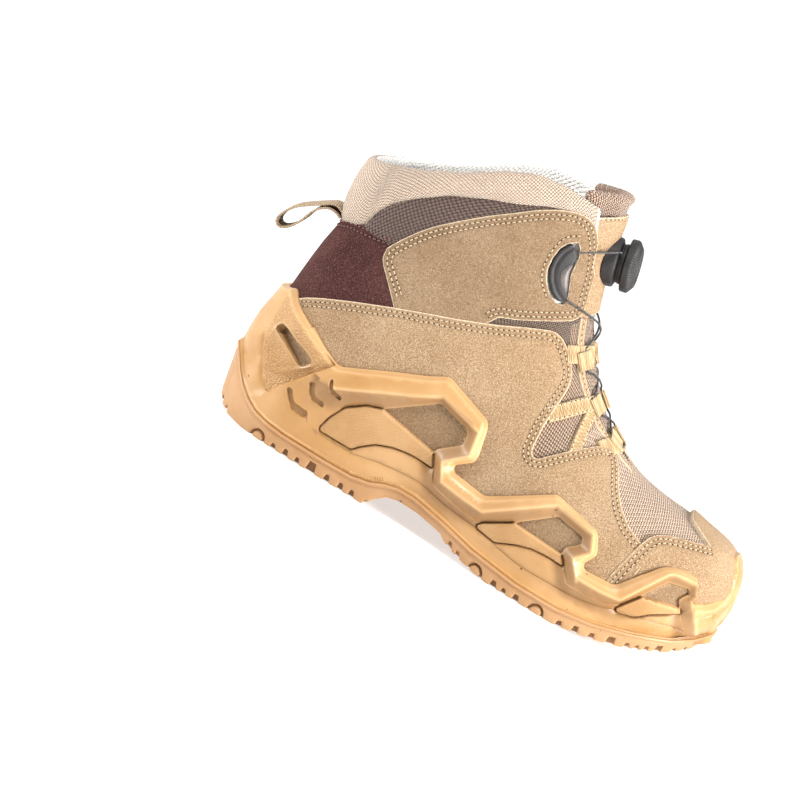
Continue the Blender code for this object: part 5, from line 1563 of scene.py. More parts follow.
patches = {
    "suedeQuarter": {"shadeIn": cageShape["windows"], "top": 2.35, "low": -0.1, "edge": 0.72, "round": 1.1,
                     "bumpy": 0.012},
    "ankleFlap": {"top": 1.55, "low": -0.1, "edge": 0.6, "round": 1.1, "bumpy": 0.012},
    "heelPanel": {"top": 0.75, "low": -0.4, "edge": 0.5, "round": 1.2, "bumpy": 0.01},
    "toeCap": {"shadeIn": cageShape["windows"], "top": 1.5, "low": -0.3, "edge": 0.72, "round": 1.1,
               "bumpy": 0.012,
               "lap": 1.5, "lapReach": 9.0},
    "vamp": {"top": 0.35, "low": -0.6, "edge": 0.5, "round": 1.5},
    "notchWeave": {"top": 0.1, "low": -0.8, "edge": 0.5, "round": 1.5},
    "slitMesh": {"top": -0.1, "low": -1.0, "edge": 0.5, "round": 1.5},
    "crescent": {"top": 0.2, "low": -0.6, "edge": 0.5, "round": 1.5, "puff": 0.8, "puffReach": 12.0},
}
thread, brownThread, paleThread = Stitching(), Stitching(), Stitching()


# double rows of stitching inside a stretch of edge
def seamLines(form, edge, distances=(2.2, 4.7)):
    even = evenChart(form, edge, 1.2)
    return [shifted(form, even, d) for d in distances]


def sideChart(line, radius=3.0, smooth=False, depth=1.4):
    return chartOf(skinForm(depth), smoothLine(line) if smooth else drawn(line, radius))


guideHole = (
    (127.5, 180), (123.6, 177.6), (120.6, 172.6), (119.8, 166), (120.5, 159.5), (123.3, 154), (128.3, 149),
    (134, 146.3), (138.4, 147.4), (138, 152), (135.6, 157), (132.8, 163), (132.2, 168), (131.8, 173),
    (129.5, 178),
)

flapSeam = (
    (58, 103.5), (50, 110.5), (44, 116), (41.5, 120), (41.3, 125), *flapTop, (144, 170), (149, 152),
    (149.3, 147), (147, 143), (140, 138.5), (130, 132.8), (120, 127.4), (114.5, 125.2), (111, 123.8),
    (109, 120),
)
holeSeamLine = ((127, 184), (121, 180), (118.2, 174), (117.3, 166), (118, 159), (121.5, 152), (128, 146.4))
# cloth between the suede pieces: name, outline, depth of drawing, finish, patch
sideCloths = (
    ("side_weave_", ((147, 140), (158, 118), (157.5, 70), (166, 64), (200, 89), (210, 91), (204, 98),
                     (196, 105),
                     (183, 114), (165, 134), (153, 150)), 0.2, "notch", "notchWeave"),
    ("slit_mesh_", ((100, 112), (115, 116), (135, 127), (148, 128), (158, 120), (164, 128), (155, 142),
                    (150, 151),
                    (143, 145), (125, 134), (108, 125)), 0.2, "slit", "slitMesh"),
    ("crescent_mesh_", ((25, 127), (25, 131), (27, 139), (30, 144.5), (40, 155), (55, 165.5), (75, 175.5),
                        (85, 179.4),
                        (100, 186.5), (118, 193.6), (122, 190), (112, 183), (90, 169), (70, 153), (57, 141),
                        (50, 128)), 0.8, "crescent", "crescent"),
)


def makeSidePieces():
    quarterEdge = sideChart(quarterTop, 2.5)
    quarter = np.vstack((quarterEdge, sideChart(quarterLow, 4.0)))
    quarterSeams = seamLines(lastSkin, quarterEdge[3:])
    flap = np.vstack((sideChart(flapTop, 5.0), sideChart(flapRest, 3.0)))
    flapSeams = seamLines(lastSkin, sideChart(flapSeam, 4.0), (2.4, 4.9))
    hole = sideChart(guideHole, 1.5)
    holeSeam = sideChart(holeSeamLine, 3.0, True)
    for side, word in sides:
        makePatch("quarter_suede_" + word, quarter, paints["suede"], patches["suedeQuarter"], side,
                  rows=quarterSeams)
        makePatch("ankle_flap_suede_" + word, flap, paints["shaded"], patches["ankleFlap"], side,
            holes=(hole,), rows=(*flapSeams, holeSeam))
        for key, lines in (("ankleFlap", [holeSeam]), ("suedeQuarter", quarterSeams),
                ("ankleFlap", flapSeams)):
            for line in lines:
                thread.row(lastSkin, line, patches[key]["top"] - 0.25, side)
        for name, line, depth, paint, patch in sideCloths:
            makePatch(name + word, sideChart(line, 3.0, False, depth), paints[paint], patches[patch], side)


def makeHeelPanel():
    form = aroundForm(0.0)
    upper = sideChart(((17, 128.3), (30, 129.6), (38, 131), (46, 133.2)), 3.0, True, 0.8)
    rest = sideChart(((46, 133.2), (53, 128), (64, 108), (66, 100), (60, 92), (40, 84), (20, 73), (12, 66)),
        3.0, False, 0.8)
    half = np.vstack(((backPlace(120.2), 0.0), upper, rest[1:], (backPlace(64), 0.0)))
    rows = seamLines(form, np.vstack(((backPlace(120.2), 0.0), upper)), (1.6, 4.2))
    rows = [np.vstack(((r * (1, -1))[::-1], r)) for r in rows]
    makePatch("heel_panel_suede", bothHalves(half[::-1], 0.0), paints["brown"], patches["heelPanel"], -1,
        form, rows=rows)
    for line in rows:
        brownThread.row(form, line, patches["heelPanel"]["top"] - 0.12)


def makeToe():
    rear = sideChart(((236, 27), (233, 34), (233.6, 38), (236.6, 50), (239, 59), (241, 64), (244.5, 67.6),
        (250, 70), (262, 73.6), (271.5, 76.4)), 2.5)
    over = sideChart(((271.5, 76.4), (263, 80.5), (256, 84.2)), 1.0)
    over = over[over[:, 1] < 0.5]
    inner = mirrored(rear)[::-1]
    inner = inner[inner[:, 0] > 5.9]
    back = np.vstack((rear, over[1:], (over[-1, 0] + 0.12, 0.505), inner))
    first, last = back[0], back[-1]
    lowOuter = np.linspace(first, (1.4, 0.03), 60)[1:]
    front = np.linspace((1.4, 0.03), (1.4, 0.97), 41)[1:]
    lowInner = np.linspace((1.4, 0.97), last, 60)[1:-1]
    rows = seamLines(lastSkin, rear[3:]) + seamLines(lastSkin, inner)
    makePatch("toe_cap_suede", np.vstack((back[::-1], lowOuter, front, lowInner)), paints["suede"],
              patches["toeCap"], rows=rows)
    for line in rows:
        thread.row(lastSkin, line, patches["toeCap"]["top"] + 1.05)
    half = np.array(((3.9, 0.5), (4.0, 0.34), (5.0, 0.2), (6.6, 0.14), (8.0, 0.14), (9.3, 0.22), (9.7, 0.30)))
    places = np.linspace(9.5, 8.15, 12)
    half = np.vstack((drawn(half * (10, 200), 6) / (10, 200), pair(places, throatTurn(places)), (8.3, 0.5)))
    makePatch("vamp_mesh", bothHalves(half, 0.5), paints["vamp"], patches["vamp"])


makeSidePieces()
makeHeelPanel()
makeToe()
print("upper pieces ready")

# collar and lining: one padded band rolled over the top edge, and a thin skin down inside the boot
collarEdge = {
    "x": (8, 20, 40, 60, 80, 95, 112, 130, 150),
    "z": (156.5, 160.2, 168.8, 179.5, 192.3, 199, 200.8, 198.6, 194),
}
collarShape = {
    "columns": 150, "inside": 26.0, "outward": 2.1, "inward": -5.0, "puff": 1.5, "rise": 0.6, "endRound": 5.0,
    "clothRows": 26, "soft": 0.7,
    # lower edge in the side view, from the heel's middle to the throat
    "low": ((11.5, 125), (20, 126.5), (25, 130.5), (27, 139), (30, 144.5), (40, 155), (55, 165.5),
            (75, 175.5),
            (85, 179), (100, 186), (117, 192), (124, 193.2), (130, 191.4), (134.8, 185.5), (142.2, 170),
            (147, 152.5), (147.5, 149)),
    "creases": (((62, 178), (58, 170), (56, 164)), ((100, 198), (104, 192), (106, 187)),
                ((30, 166), (33, 158), (31, 150))),
}


def shareChart(share, place, side):
    turn = share * throatTurn(place)
    return 1 - turn if side > 0 else turn


def edgePlace(shares):
    low, high = np.full(len(shares), 18.0), np.full(len(shares), 26.0)
    for _ in range(30):
        middle = (low + high) / 2
        points = lastPoint(middle, shareChart(shares, middle, -1))
        under = points[:, 2] < np.interp(points[:, 0], collarEdge["x"], collarEdge["z"])
        low, high = np.where(under, middle, low), np.where(under, high, middle)
    return (low + high) / 2


def makeCollar():
    shape = collarShape
    shape = collarShape
    half = np.linspace(0, 1, shape["columns"])
    top = np.minimum(edgePlace(half), 25.9)
    lowChart = sideChart(shape["low"], 6.0, False, 1.0)
    lowShare = lowChart[:, 1] / throatTurn(lowChart[:, 0])
    order = np.argsort(lowShare)
    low = np.interp(half, lowShare[order], lowChart[order, 0])
    places = low + (top - low) * np.linspace(0, 1, 22)[:, None]
    levels = lastPoint(places, shareChart(half[None, :], places, -1))
    steps = np.vstack((np.zeros(len(half)), np.cumsum(size(np.diff(levels, axis=0)), axis=0)))
    full = steps[-1]
    near = np.clip((1 - half) * full.mean() * 1.2 / shape["endRound"], 0, 1)
    ends = 0.35 + 0.65 * roundRise(near, 1.0)
    outward, inward = shape["outward"] * ends, -2.6 + (shape["inward"] + 2.6) * ends
    middle, radius = (outward + inward) / 2, (outward - inward) / 2
    crown = full - radius + shape["rise"]
    # rows up the outside, over the rim and down the inside: length along the section, depth
    rows = []
    for share in np.linspace(0, 1, 20):
        s = share * crown
        swell = shape["puff"] * np.sin(np.pi * np.clip(share * 1.05, 0,
            1)) ** 0.7 * ends * np.clip(full / 20, 0, 1)
        rows.append((s, outward * (0.15 + 0.85 * roundRise(s - 1.0, 4.5)) + swell * roundRise(s - 1.0, 9.0)))
    for turn in np.linspace(0, math.pi, 15)[1:-1]:
        rows.append((crown + radius * math.sin(turn), middle + radius * math.cos(turn)))
    for share in np.linspace(0, 1, 10):
        rows.append((crown - share * shape["inside"], inward * (1 - share) + -3.3 * share))
    rows.append((np.minimum(rows[-1][0], full - 8), 0 * half - 1.2))
    rows.append((0 * half + 1.0, 0 * half - 0.7))
    rowCount = len(rows)
    creases = [creaseTree(line) for line in shape["creases"]]
    blocks, flats = [], []
    run = runOf(levels[-1])
    for side in (-1, 1):
        points = np.zeros((rowCount, len(half), 3))
        for index, (s, depth) in enumerate(rows):
            place = np.array([np.interp(s[c], steps[:, c], places[:, c],
                left=places[0, c] + s[c] / shaftStep) for c in range(len(half))])
            if index < 20:
                for tree in creases:
                    away = nearest(tree, lastPoint(place, shareChart(half, place, -1)))[1]
                    depth = depth - 0.7 * bell(away, 5.0)
            turn = shareChart(half, place, side)
            base = lastPoint(place, turn)
            up = unit(base - lastPoint(place - 0.05, turn)) * np.maximum(s - full, 0)[:, None]
            points[index] = base + lastNormal(place, turn) * depth[:, None] + up
        blocks.append(points)
        climb = np.cumsum(size(np.diff(points, axis=0, prepend=points[:1])), axis=0)
        flats.append(pair(np.broadcast_to(run * -side, climb.shape), climb, 0 * climb))
    points, flat = (np.concatenate((inner[:, :0:-1], outer), axis=1) for outer, inner in (blocks, flats))
    points[:, len(half) - 1, 1] = (points[:, len(half) - 2, 1] + points[:, len(half), 1]) / 2
    count = points.shape[1]
    faces, slots = [], []
    for r in range(rowCount):
        on = (r + 1) % rowCount * count
        for c in range(count - 1):
            faces.append((r * count + c, on + c, on + c + 1, r * count + c + 1))
            slots.append(0 if r < shape["clothRows"] and 0 < c - 1 < count - 4 else 1)
    faces.append(tuple(r * count for r in reversed(range(rowCount))))
    faces.append(tuple(r * count + count - 1 for r in range(rowCount)))
    made = addObject("collar_padded", points.reshape(-1, 3), faces, paints["collar"], {
        "flat": flat.reshape(-1, 3) * mm, "rim": np.full(count * rowCount, 5.0),
        "pressAndShade": np.zeros(count * rowCount),
    }, 60)
    made.data.materials.append(paints["lining"])
    made.data.polygons.foreach_set("material_index", [*slots, 1, 1])
    faceOutwards(made)


def makeLining():
    shares = np.linspace(0.0, 1, 44)
    top = np.minimum(edgePlace(shares), 25.9) - 0.35
    places = 1.0 + (top - 1.0) * np.linspace(0, 1, 130)[:, None]
    for side, word in sides:
        turn = shareChart(shares[None, :], places, side)
        outer, inner = (lastAt(places, turn, np.full(places.shape, depth)) for depth in (-1.0, -2.6))
        made = addSheet("lining_" + word, outer, inner, flatData(pair(places, turn)), paints["lining"])
        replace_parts(made, "upper")


makeCollar()
makeLining()
print("collar and lining ready")

# tongue, its suede panel, facing strips, straps and loops
tongueHalf = {"place": (7.4, 9, 11, 14, 17, 20, 22, 24, 25.6), "half": (15, 20, 24, 28, 31, 34, 39, 45, 49)}
tongueShape = {
    "sink": 4.0, "rise": 2.3, "thick": 6.0, "low": 7.6, "top": 24.95, "puff": 1.7, "rows": 150, "columns": 64,
    "soft": 0.7,
}
panelShape = {"low": 12.9, "top": 23.15, "lift": 0.6, "thick": 1.4}


def tongueDepth(place, turn):
    edge = 0.5 - throatTurn(place)
    rise = softStep((edge * 0.8 - np.abs(turn - 0.5)) / (edge * 0.45 + 1e-6), 0, 1)
    room = np.clip((section(place)["throat"] - 7) / 6, 0, 1)
    return -tongueShape["sink"] + rise * room * tongueShape["rise"]


def makeTongue():
    shape = tongueShape
    along = np.linspace(0, 1, shape["rows"])
    across = np.sin(np.linspace(-math.pi / 2, math.pi / 2, shape["columns"]))
    places = shape["low"] + (shape["top"] - shape["low"]) * (1 - (1 - along) ** 1.15)
    place = np.broadcast_to(places[:, None], (shape["rows"], shape["columns"]))
    half = np.interp(places, tongueHalf["place"], tongueHalf["half"]) / girth(places)
    toEnd = (shape["top"] - places) * shaftStep
    turn = 0.5 + (half * (0.9 + 0.1 * roundRise(toEnd, 9)))[:, None] * across[None, :]
    swell = np.exp(-((toEnd - 6) / 7.0) ** 2)[:, None]
    edges = (1 - np.abs(across)) * half.mean() * girth(20.0)
    roundEdge = 0.12 + 0.88 * roundRise(edges, 7.0)[None, :]
    roundEnd = 0.05 + 0.95 * roundRise(toEnd, 5.0)[:, None]
    thick = (shape["thick"] / 2 + shape["puff"] * swell) * roundEdge * roundEnd
    middle = tongueDepth(place, turn) - shape["thick"] / 2 + swell * 0.3
    ridge = 0.35 * np.sin(across * 9)[None, :] * swell
    front, back = lastAt(place, turn, middle + thick + ridge), lastAt(place, turn, middle - thick)
    made = addSheet("tongue_padded", front, back, flatData(pair(place, turn)), paints["tongue"])
    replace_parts(made, "tongue")


def panelForm(place, turn):
    depth = tongueDepth(place, np.full(np.shape(turn), 0.5)) + panelShape["lift"]
    return lastAt(place, np.clip(turn, 0.02, 0.98), depth)


def makePanel():
    shape = panelShape
    places = np.linspace(shape["low"], shape["top"], 90)
    flare = np.clip((places - 21.0) / 2.0, 0, 1) ** 2 * 3.5 / girth(places)
    half = pair(places, throatTurn(places) + 1.5 / girth(places) - flare)
    corner = np.vstack(((places[0], 0.5), half[::6], half[-1:], (places[-1] + 0.12, 0.5)))
    outline = bothHalves(drawn(corner * (10, 200), 5) / (10, 200), 0.5)
    row = np.linspace((places[-1] - 0.13, half[-1, 1] + 0.012), (places[-1] - 0.13, 0.988 - half[-1, 1]), 30)
    spec = {"top": shape["thick"], "low": 0.0, "edge": 0.6, "round": 1.1, "bumpy": 0.012, "waves": 0.0}
    made = makePatch("tongue_panel_suede", outline, paints["suede"], spec, -1, panelForm, rows=(row,))
    thread.row(panelForm, row, shape["thick"] - 0.25, -1, 0.0)
    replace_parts(made, "tongue_panel")


# A strip of webbing or suede along a line in the side view: cross ribs, rounded edges, stitches.
stripLines = {
    "facing": {"line": ((150.5, 147), (155.5, 135), (163.5, 122.5), (172, 113.5), (180, 107.3), (187, 101.8),
                        (197, 97.5)), "width": 4.2, "top": 1.3, "low": 0.1,
                        "taper": ((0, 0.8, 1), (1, 1, 0.9))},
    "facingTip": {"line": ((197, 98.5), (205, 93.8), (212, 91), (217, 88.8)), "width": 3.4, "top": 1.2,
                  "low": 0.1,
                  "taper": ((0, 0.6, 1), (1, 0.8, 0.25))},
    "strapShort": {"line": ((184, 79), (182.3, 88), (180.8, 97), (180, 106)), "width": 6.6, "top": 1.6,
                   "low": 0.5},
    "strapLong": {"line": ((160.5, 92.5), (167, 99), (173, 105.5), (180, 111.5)), "width": 8.6, "top": 2.0,
                  "low": 0.5},
    "loopTail1": {"line": ((152.6, 125.8), (157, 128.2), (164.5, 132.5)), "width": 10.0, "top": 2.15,
                  "low": 0.4},
    "loopTail3": {"line": ((194.2, 90.6), (197, 94), (201, 98.5)), "width": 10.0, "top": 2.15, "low": 0.4},
}
webbingShape = {"rib": 0.16, "pitch": 1.3, "across": (-1, -0.94, -0.75, -0.4, 0, 0.4, 0.75, 0.94, 1)}


def makeStrip(name, spec, side, webbing=True, seams=(), seamThread=None):
    width, top, low = spec["width"], spec["top"], spec["low"]
    chart = evenChart(lastSkin, chartOf(lastSkin, smoothLine(spec["line"], 1.0)), 0.24 if webbing else 0.8)
    across = np.array(webbingShape["across"])
    wide = np.interp(np.linspace(0, 1, len(chart)), *spec.get("taper", ((0, 1), (1, 1)))) * (width / 2.0)
    base, _, _, normal = formFrame(lastSkin, mirrored(chart) if side > 0 else chart)
    sideways = unit(np.cross(normal, unit(np.gradient(base, axis=0))))
    run = runOf(base)
    high = top - (top - low) * 0.55 * (1 - roundRise(1 - np.abs(across), 0.14))[None, :]
    rib = webbingShape["rib"] if webbing else 0.0
    high = high + rib * np.cos(2 * math.pi * run / webbingShape["pitch"])[:, None] * (np.abs(across) < 0.9)
    out = across[None, :] * wide[:, None]
    front = base[:, None] + sideways[:, None] * out[..., None] + normal[:, None] * high[..., None]
    back = front + normal[:, None] * (low - 0.3 - high)[..., None]
    flat = pair(np.broadcast_to(run[:, None], high.shape), out, 0 * high) * mm
    made = addSheet(name, front, back, flat, paints["webbing" if webbing else "suede"],
        (1 - np.abs(across)) * width / 2)
    for offset in seams:
        line = shifted(lastSkin, evenChart(lastSkin, chart, 0.8), offset)
        seamThread.row(lastSkin, line, top - 0.12, side, 0.0)
    return made


loopPlaces = ((11.35, 2.8), (10.0, 2.8), (8.95, 2.4))
loopShape = {"long": 10.2, "across": 10.5, "high": 2.6, "wall": 0.75, "stand": 0.6, "pitch": 1.3, "rib": 0.16}


def throatAt(place, side, reach):
    turn = lambda t: t if side < 0 else 1 - t
    edge = turn(throatTurn(place) + reach / girth(place))
    middle, out = lastPoint(place, edge), lastNormal(place, edge)
    ahead, behind = (lastPoint(place + step, turn(throatTurn(place + step))) for step in (0.05, -0.05))
    along = ahead - behind
    along = unit(along - np.dot(along, out) * out)
    return middle, along, np.cross(out, along), out


def makeLoops():
    shape = loopShape
    flatHalf = shape["across"] / 2 - shape["high"] / 2
    ring = []
    for end, start in ((1, -90), (-1, 90)):
        for turn in (math.radians(start + 15 * k) for k in range(13)):
            ring.append((end * flatHalf + math.cos(turn) * shape["high"] / 2,
                math.sin(turn) * shape["high"] / 2))
    ring = evenly(ring, 0.24, True)
    normal = unit(np.roll(ring, -1, axis=0) - np.roll(ring, 1, axis=0))
    normal = pair(normal[:, 1], -normal[:, 0])
    run = np.arange(len(ring)) * 0.24
    ringOut = ring + normal * (shape["rib"] * np.cos(2 * math.pi * run / shape["pitch"]))[:, None]
    ringIn = ring - normal * shape["wall"]
    levels = np.array((-0.5, -0.47, -0.3, 0, 0.3, 0.47, 0.5)) * shape["long"]
    shrinks = (0.25, 0, 0, 0, 0, 0, 0.25)
    # out over the outer face and back through the inner one
    order = [(ringOut, 1, *pair) for pair in zip(levels, shrinks)]
    order += [(ringIn, -1, *pair) for pair in zip(levels[::-1], shrinks)]
    total, count = len(order), len(ring)
    flat = pair(np.tile(run, total), np.repeat(np.arange(total), count), np.zeros(total * count)) * mm
    for side, word in sides:
        for index, (place, reach) in enumerate(loopPlaces, 1):
            middle, along, across, out = throatAt(place, side, reach)
            middle = middle + out * (shape["stand"] + shape["high"] / 2)
            points = []
            for rings, sign, level, shrink in order:
                moved = rings - normal * shrink * sign
                points.append(middle + along * level + across * moved[:, :1] + out * moved[:, 1:])
            made = addObject(f"lace_loop_web_{word}_{index}", np.concatenate(points),
                ringFaces(total, count, True), paints["webbing"],
                {"flat": flat, "rim": np.full(total * count, 3.0), "pressAndShade": np.zeros(total * count)}, 60)
            faceOutwards(made)
            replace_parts(made, f"lace_loop_{word}_{index}")


def makeStraps():
    for side, word in sides:
        makeStrip("facing_strip_" + word, stripLines["facing"], side, False, (0.0,), thread)
        makeStrip("facing_tip_" + word, stripLines["facingTip"], side, False)
        for key in ("strapShort", "strapLong"):
            edge = stripLines[key]["width"] / 2 - 0.9
            made = makeStrip(f"webbing_{key}_{word}", stripLines[key], side, True, (edge, -edge), paleThread)
            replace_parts(made, "strap_" + word)
        for key in ("loopTail1", "loopTail3"):
            makeStrip(f"webbing_{key}_{word}", stripLines[key], side)


# guides on the ankle flaps
guideSpec = {
    "plate": ((124.2, 177), (126.8, 177.8), (131.2, 172.5), (131.2, 168), (131.8, 163), (134.8, 156.6),
              (137.6, 152),
              (137.2, 149), (134, 147.4), (129, 149.8), (124.2, 154.8), (121.4, 160), (120.6, 166),
              (121.4, 172)),
    "plateShape": {"top": 3.0, "low": 0.0, "edge": 0.55, "round": 1.2, "waves": 0.0, "rowDeep": 0.7,
                   "spacing": 1.0},
    "dome": ((130.6, 169.5), (128.0, 166), (127.4, 161), (129.4, 156.5), (133.2, 153.4), (136.2, 153.4),
             (134.8, 157.0), (132.0, 162.6), (131.4, 167)),
    "domeShape": {"top": 3.2, "low": 1.0, "edge": 0.3, "round": 1.5, "puff": 1.3, "puffReach": 3.5,
                  "waves": 0.0,
                  "spacing": 0.9},
    "rib": ((126.2, 176.3), (123.8, 171.6), (123.2, 166), (124, 160.6), (126.4, 156.2), (130.6, 152),
            (135.4, 149.6)),
}


def makeGuides():
    spec = guideSpec
    rib = sideChart(spec["rib"], 3.0, True, 2.0)
    for side, word in sides:
        plate = makePatch("guide_plate_" + word, sideChart(spec["plate"], 1.6, False, 2.0), paints["black"],
            spec["plateShape"], side, rows=(rib,))
        dome = makePatch("guide_dome_" + word, sideChart(spec["dome"], 2.0, False, 2.5), paints["dome"],
            spec["domeShape"], side)
        for piece in (plate, dome):
            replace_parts(piece, "guide_" + word)


# the dial: a round base with a lace channel, and a knurled knob
dialShape = {
    "centre": (150.5, 0.0, 175.2), "tilt": math.radians(15), "baseThick": 5.8, "gap": 0.3, "sides": 240,
    "teeth": 60,
    "toothDeep": 0.4, "toothSpan": (3.6, 6.6),
    "base": ((0, 5.8), (10.6, 5.8), (11.0, 5.5), (11.0, 4.4), (10.6, 4.0), (10.6, 3.2), (11.2, 2.8),
             (12.9, 2.2),
             (13.4, 1.6), (13.6, 0.4), (13.6, -4.5), (12.5, -5.5), (0, -5.5)),
    "knob": ((0, 6.9), (7.6, 6.9), (8.4, 6.7), (8.8, 7.2), (9.8, 7.5), (10.6, 7.3), (13.9, 4.9), (14.4, 4.1),
             (14.5, 3.4),
             (14.4, 0.8), (13.9, 0.3), (12.6, 0.0), (0, 0.0)),
}


def dialMatrix(distance):
    turn = Matrix.Rotation(math.pi / 2 - dialShape["tilt"], 4, "Y")
    return Matrix.Translation(dialShape["centre"]) @ turn @ Matrix.Translation((0, 0, distance))


def turnedPiece(name, profile, matrix, toothDeep=0.0):
    shape = dialShape
    sides, low, high = shape["sides"], *shape["toothSpan"]
    profile = np.array(profile, float)
    fine = [profile[0]]
    for a, b in zip(profile[:-1], profile[1:]):
        count = max(1, int(size(b - a) / 1.2))
        fine += [a + (b - a) * (k + 1) / count for k in range(count)]
    turn = np.arange(sides) * 2 * math.pi / sides
    points = [(0, 0, fine[0][1])]
    for radius, height in fine[1:-1]:
        grip = toothDeep * np.clip((radius - 10.2) / 1.5, 0, 1) * (low < height < high)
        wide = radius - grip * (0.5 - 0.5 * np.cos(turn * shape["teeth"]))
        points += [(w * math.cos(t), w * math.sin(t), height) for w, t in zip(wide, turn)]
    points.append((0, 0, fine[-1][1]))
    rings, last = len(fine) - 2, len(points) - 1
    faces = [(0, 1 + (i + 1) % sides, 1 + i) for i in range(sides)]
    faces += [tuple(k + 1 for k in f) for f in ringFaces(rings, sides)]
    start = last - sides
    faces += [(last, start + i, start + (i + 1) % sides) for i in range(sides)]
    points = np.array([tuple(matrix @ Vector(p)) for p in points])
    made = addObject(name, points, faces, paints["black"], {"rim": np.full(len(points), 3.0)}, 32)
    faceOutwards(made)
    return made


def makeDial():
    shape = dialShape
    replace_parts(turnedPiece("dial_base_body", shape["base"], dialMatrix(0)), "dial_base")
    place = dialMatrix(shape["baseThick"] + shape["gap"])
    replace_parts(turnedPiece("dial_knob_knurled", shape["knob"], place, shape["toothDeep"]), "dial_knob")


# the lace: one wire from guide to guide through the loops, and two short runs up to the dial
wireShape = {
    "radius": 0.6, "sides": 10, "overTongue": 1.9, "overFacing": 2.0, "pulls": 400, "easing": 9, "step": 0.8,
    "endPast": 1.0, "lift": 0.7, "liftWide": 0.28, "topExit": (130.0, 175.4), "lowExit": (137.6, 150.4),
    "exitDepth": 2.4, "entryTurn": math.radians(32), "entryOut": 3.6, "entryRadius": 13.6,
}


def wireTube(name, line):
    shape = wireShape
    radius, count = shape["radius"], shape["sides"]
    line = evenly(line, shape["step"])
    way = unit(np.gradient(line, axis=0))
    side = unit(np.cross(way, (0.1, 0.2, 1.0)))
    up = np.cross(side, way)
    turns = np.arange(count) * 2 * math.pi / count
    points = line[:, None] + (side[:, None] * np.cos(turns)[:, None] + up[:, None] * np.sin(turns)[:,
        None]) * radius
    ends = [tuple(reversed(range(count))), tuple((len(line) - 1) * count + i for i in range(count))]
    run = np.arange(len(line)) * shape["step"]
    print(name, "is", round(float(run[-1]), 1), "mm long")
    flat = pair(np.repeat(run, count), np.tile(turns * radius, len(line)), np.zeros(len(line) * count)) * mm
    made = addObject(name, points.reshape(-1, 3), ringFaces(len(line), count) + ends, paints["wire"],
        {"flat": flat, "rim": np.full(len(flat), 3.0)}, 60)
    faceOutwards(made)
    return made


def wireFloor(place, turn):
    cover = tongueDepth(place, np.array(turn))
    if place > panelShape["low"] - 0.5:
        cover = tongueDepth(place, np.array(0.5)) + panelShape["lift"] + panelShape["thick"]
    high = float(cover) + wireShape["overTongue"]
    if abs(turn - 0.5) > 0.46 - float(throatTurn(place)):
        high = max(high, wireShape["overFacing"])
    return high


# a taut run: pulled straight again and again, and pushed back out wherever it sinks under its floor
def spanPoints(start, end, lift=0.0, count=31):
    share = np.linspace(0, 1, count)
    place = start[0] + (end[0] - start[0]) * share
    turn = start[1] + (end[1] - start[1]) * share
    floor = np.array([wireFloor(p, t) for p, t in zip(place, turn)])
    floor += lift * bell(share - 0.5, wireShape["liftWide"])
    floor[[0, -1]] = start[2], end[2]
    skin, out = lastPoint(place, turn), lastNormal(place, turn)
    points = skin + out * floor[:, None]
    for _ in range(wireShape["pulls"]):
        points[1:-1] += (points[:-2] + points[2:] - 2 * points[1:-1]) * 0.4
        sunk = floor - ((points - skin) * out).sum(axis=1)
        points += out * np.maximum(sunk, 0)[:, None]
    return list(points)


def loopEnd(index, side, end):
    place, reach = loopPlaces[index]
    ahead = lastPoint(place + 0.05, throatTurn(place + 0.05))
    behind = lastPoint(place - 0.05, throatTurn(place - 0.05))
    span = size(ahead - behind)
    place = place + end * (loopShape["long"] / 2 + wireShape["endPast"]) * 0.1 / span
    turn = float(throatTurn(place)) + reach / float(girth(place))
    return place, turn if side < 0 else 1 - turn, loopShape["stand"] + loopShape["high"] / 2


def wireExit(line, side):
    place, turn = sideChart(line, 1.0, False, 2.0)[0]
    return place, turn if side < 0 else 1 - turn, wireShape["exitDepth"]


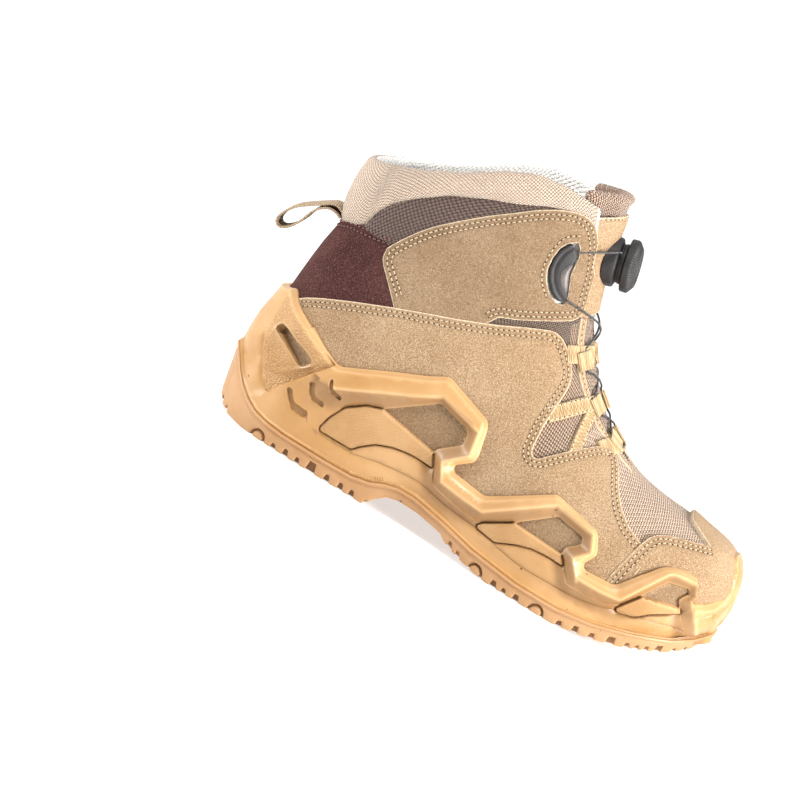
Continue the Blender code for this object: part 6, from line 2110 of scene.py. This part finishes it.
def makeLace():
    shape = wireShape
    runs = []
    for side in (-1, 1):
        here = wireExit((shape["lowExit"], (141, 148)), side)
        line = []
        for index in range(3):
            side = -side
            line += spanPoints(here, loopEnd(index, side, 1), shape["lift"] * side)
            here = loopEnd(index, side, -1)
            line.append(lastAt(*[np.array(float(v)) for v in here]))
        runs.append((line, here))
    bar = spanPoints(runs[0][1], runs[1][1], 0.0, 9)
    whole = evenly(runs[0][0] + bar[1:-1] + runs[1][0][::-1], shape["step"])
    for _ in range(shape["easing"]):
        whole[1:-1] += (whole[:-2] + whole[2:] - 2 * whole[1:-1]) * 0.25
    made = wireTube("lace_wire_crossed", whole)
    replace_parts(made, "lace_crossing_1", "lace_crossing_2", "lace_crossing_3", "lace_bar")
    for side, word in sides:
        start = lastAt(*wireExit((shape["topExit"], (134, 174)), side))
        rim, turn = shape["entryRadius"], shape["entryTurn"]
        end = dialMatrix(shape["entryOut"]) @ Vector((-math.sin(turn) * rim, side * math.cos(turn) * rim, 0))
        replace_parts(wireTube("lace_wire_dial_" + word, [start, np.array(end)]), "lace_dial_" + word)


# pull loop at the heel
pullShape = {
    "width": 20.0, "thick": 1.25, "step": 0.7, "waver": 0.25,
    "line": ((15, 122.2), (10.2, 125.2), (6, 125.3), (0.3, 121.8), (-5, 118.2), (-10.9, 113.6), (-14.9, 108),
             (-16.3, 103.4), (-15.0, 100.6), (-11.8, 100.4), (-7.7, 103.8), (-4.4, 109.4), (-2.3, 115),
             (0.7, 119.4), (5, 122.2), (9.6, 122.2), (13, 120.6)),
}


def makePullLoop():
    shape = pullShape
    line = evenly(smoothLine(shape["line"], shape["step"]), shape["step"])
    way = unit(np.gradient(line, axis=0))
    normal = pair(way[:, 1], -way[:, 0])
    across = np.sin(np.linspace(-math.pi / 2, math.pi / 2, 22))
    run = np.arange(len(line)) * shape["step"]
    thick = shape["thick"] / 2 * (0.35 + 0.65 * roundRise(1 - np.abs(across), 0.06))
    wide = across[None, :] * (shape["width"] / 2 + (shape["waver"] * np.sin(run / 9.0))[:, None])
    faces = []
    for sign in (1, -1):
        away = line[:, None] + normal[:, None] * (sign * thick[None, :, None])
        faces.append(pair(away[..., 0], wide, away[..., 1]))
    flat = pair(np.broadcast_to(run[:, None], wide.shape), wide, 0 * wide) * mm
    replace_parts(addSheet("pull_loop_webbing", *faces, flat, paints["pull"], 3.0), "pull_loop")


makeTongue()
makePanel()
makeStraps()
makeLoops()
makeGuides()
makeDial()
makeLace()
makePullLoop()
thread.finish("stitches_sand", paints["thread"], paints["needleHole"])
brownThread.finish("stitches_brown", paints["brownThread"], paints["brownHole"])
paleThread.finish("stitches_pale", paints["whiteThread"], paints["needleHole"])
bpy.data.objects["insole"].material_slots[0].material = paints["footbed"]
print("front pieces ready")
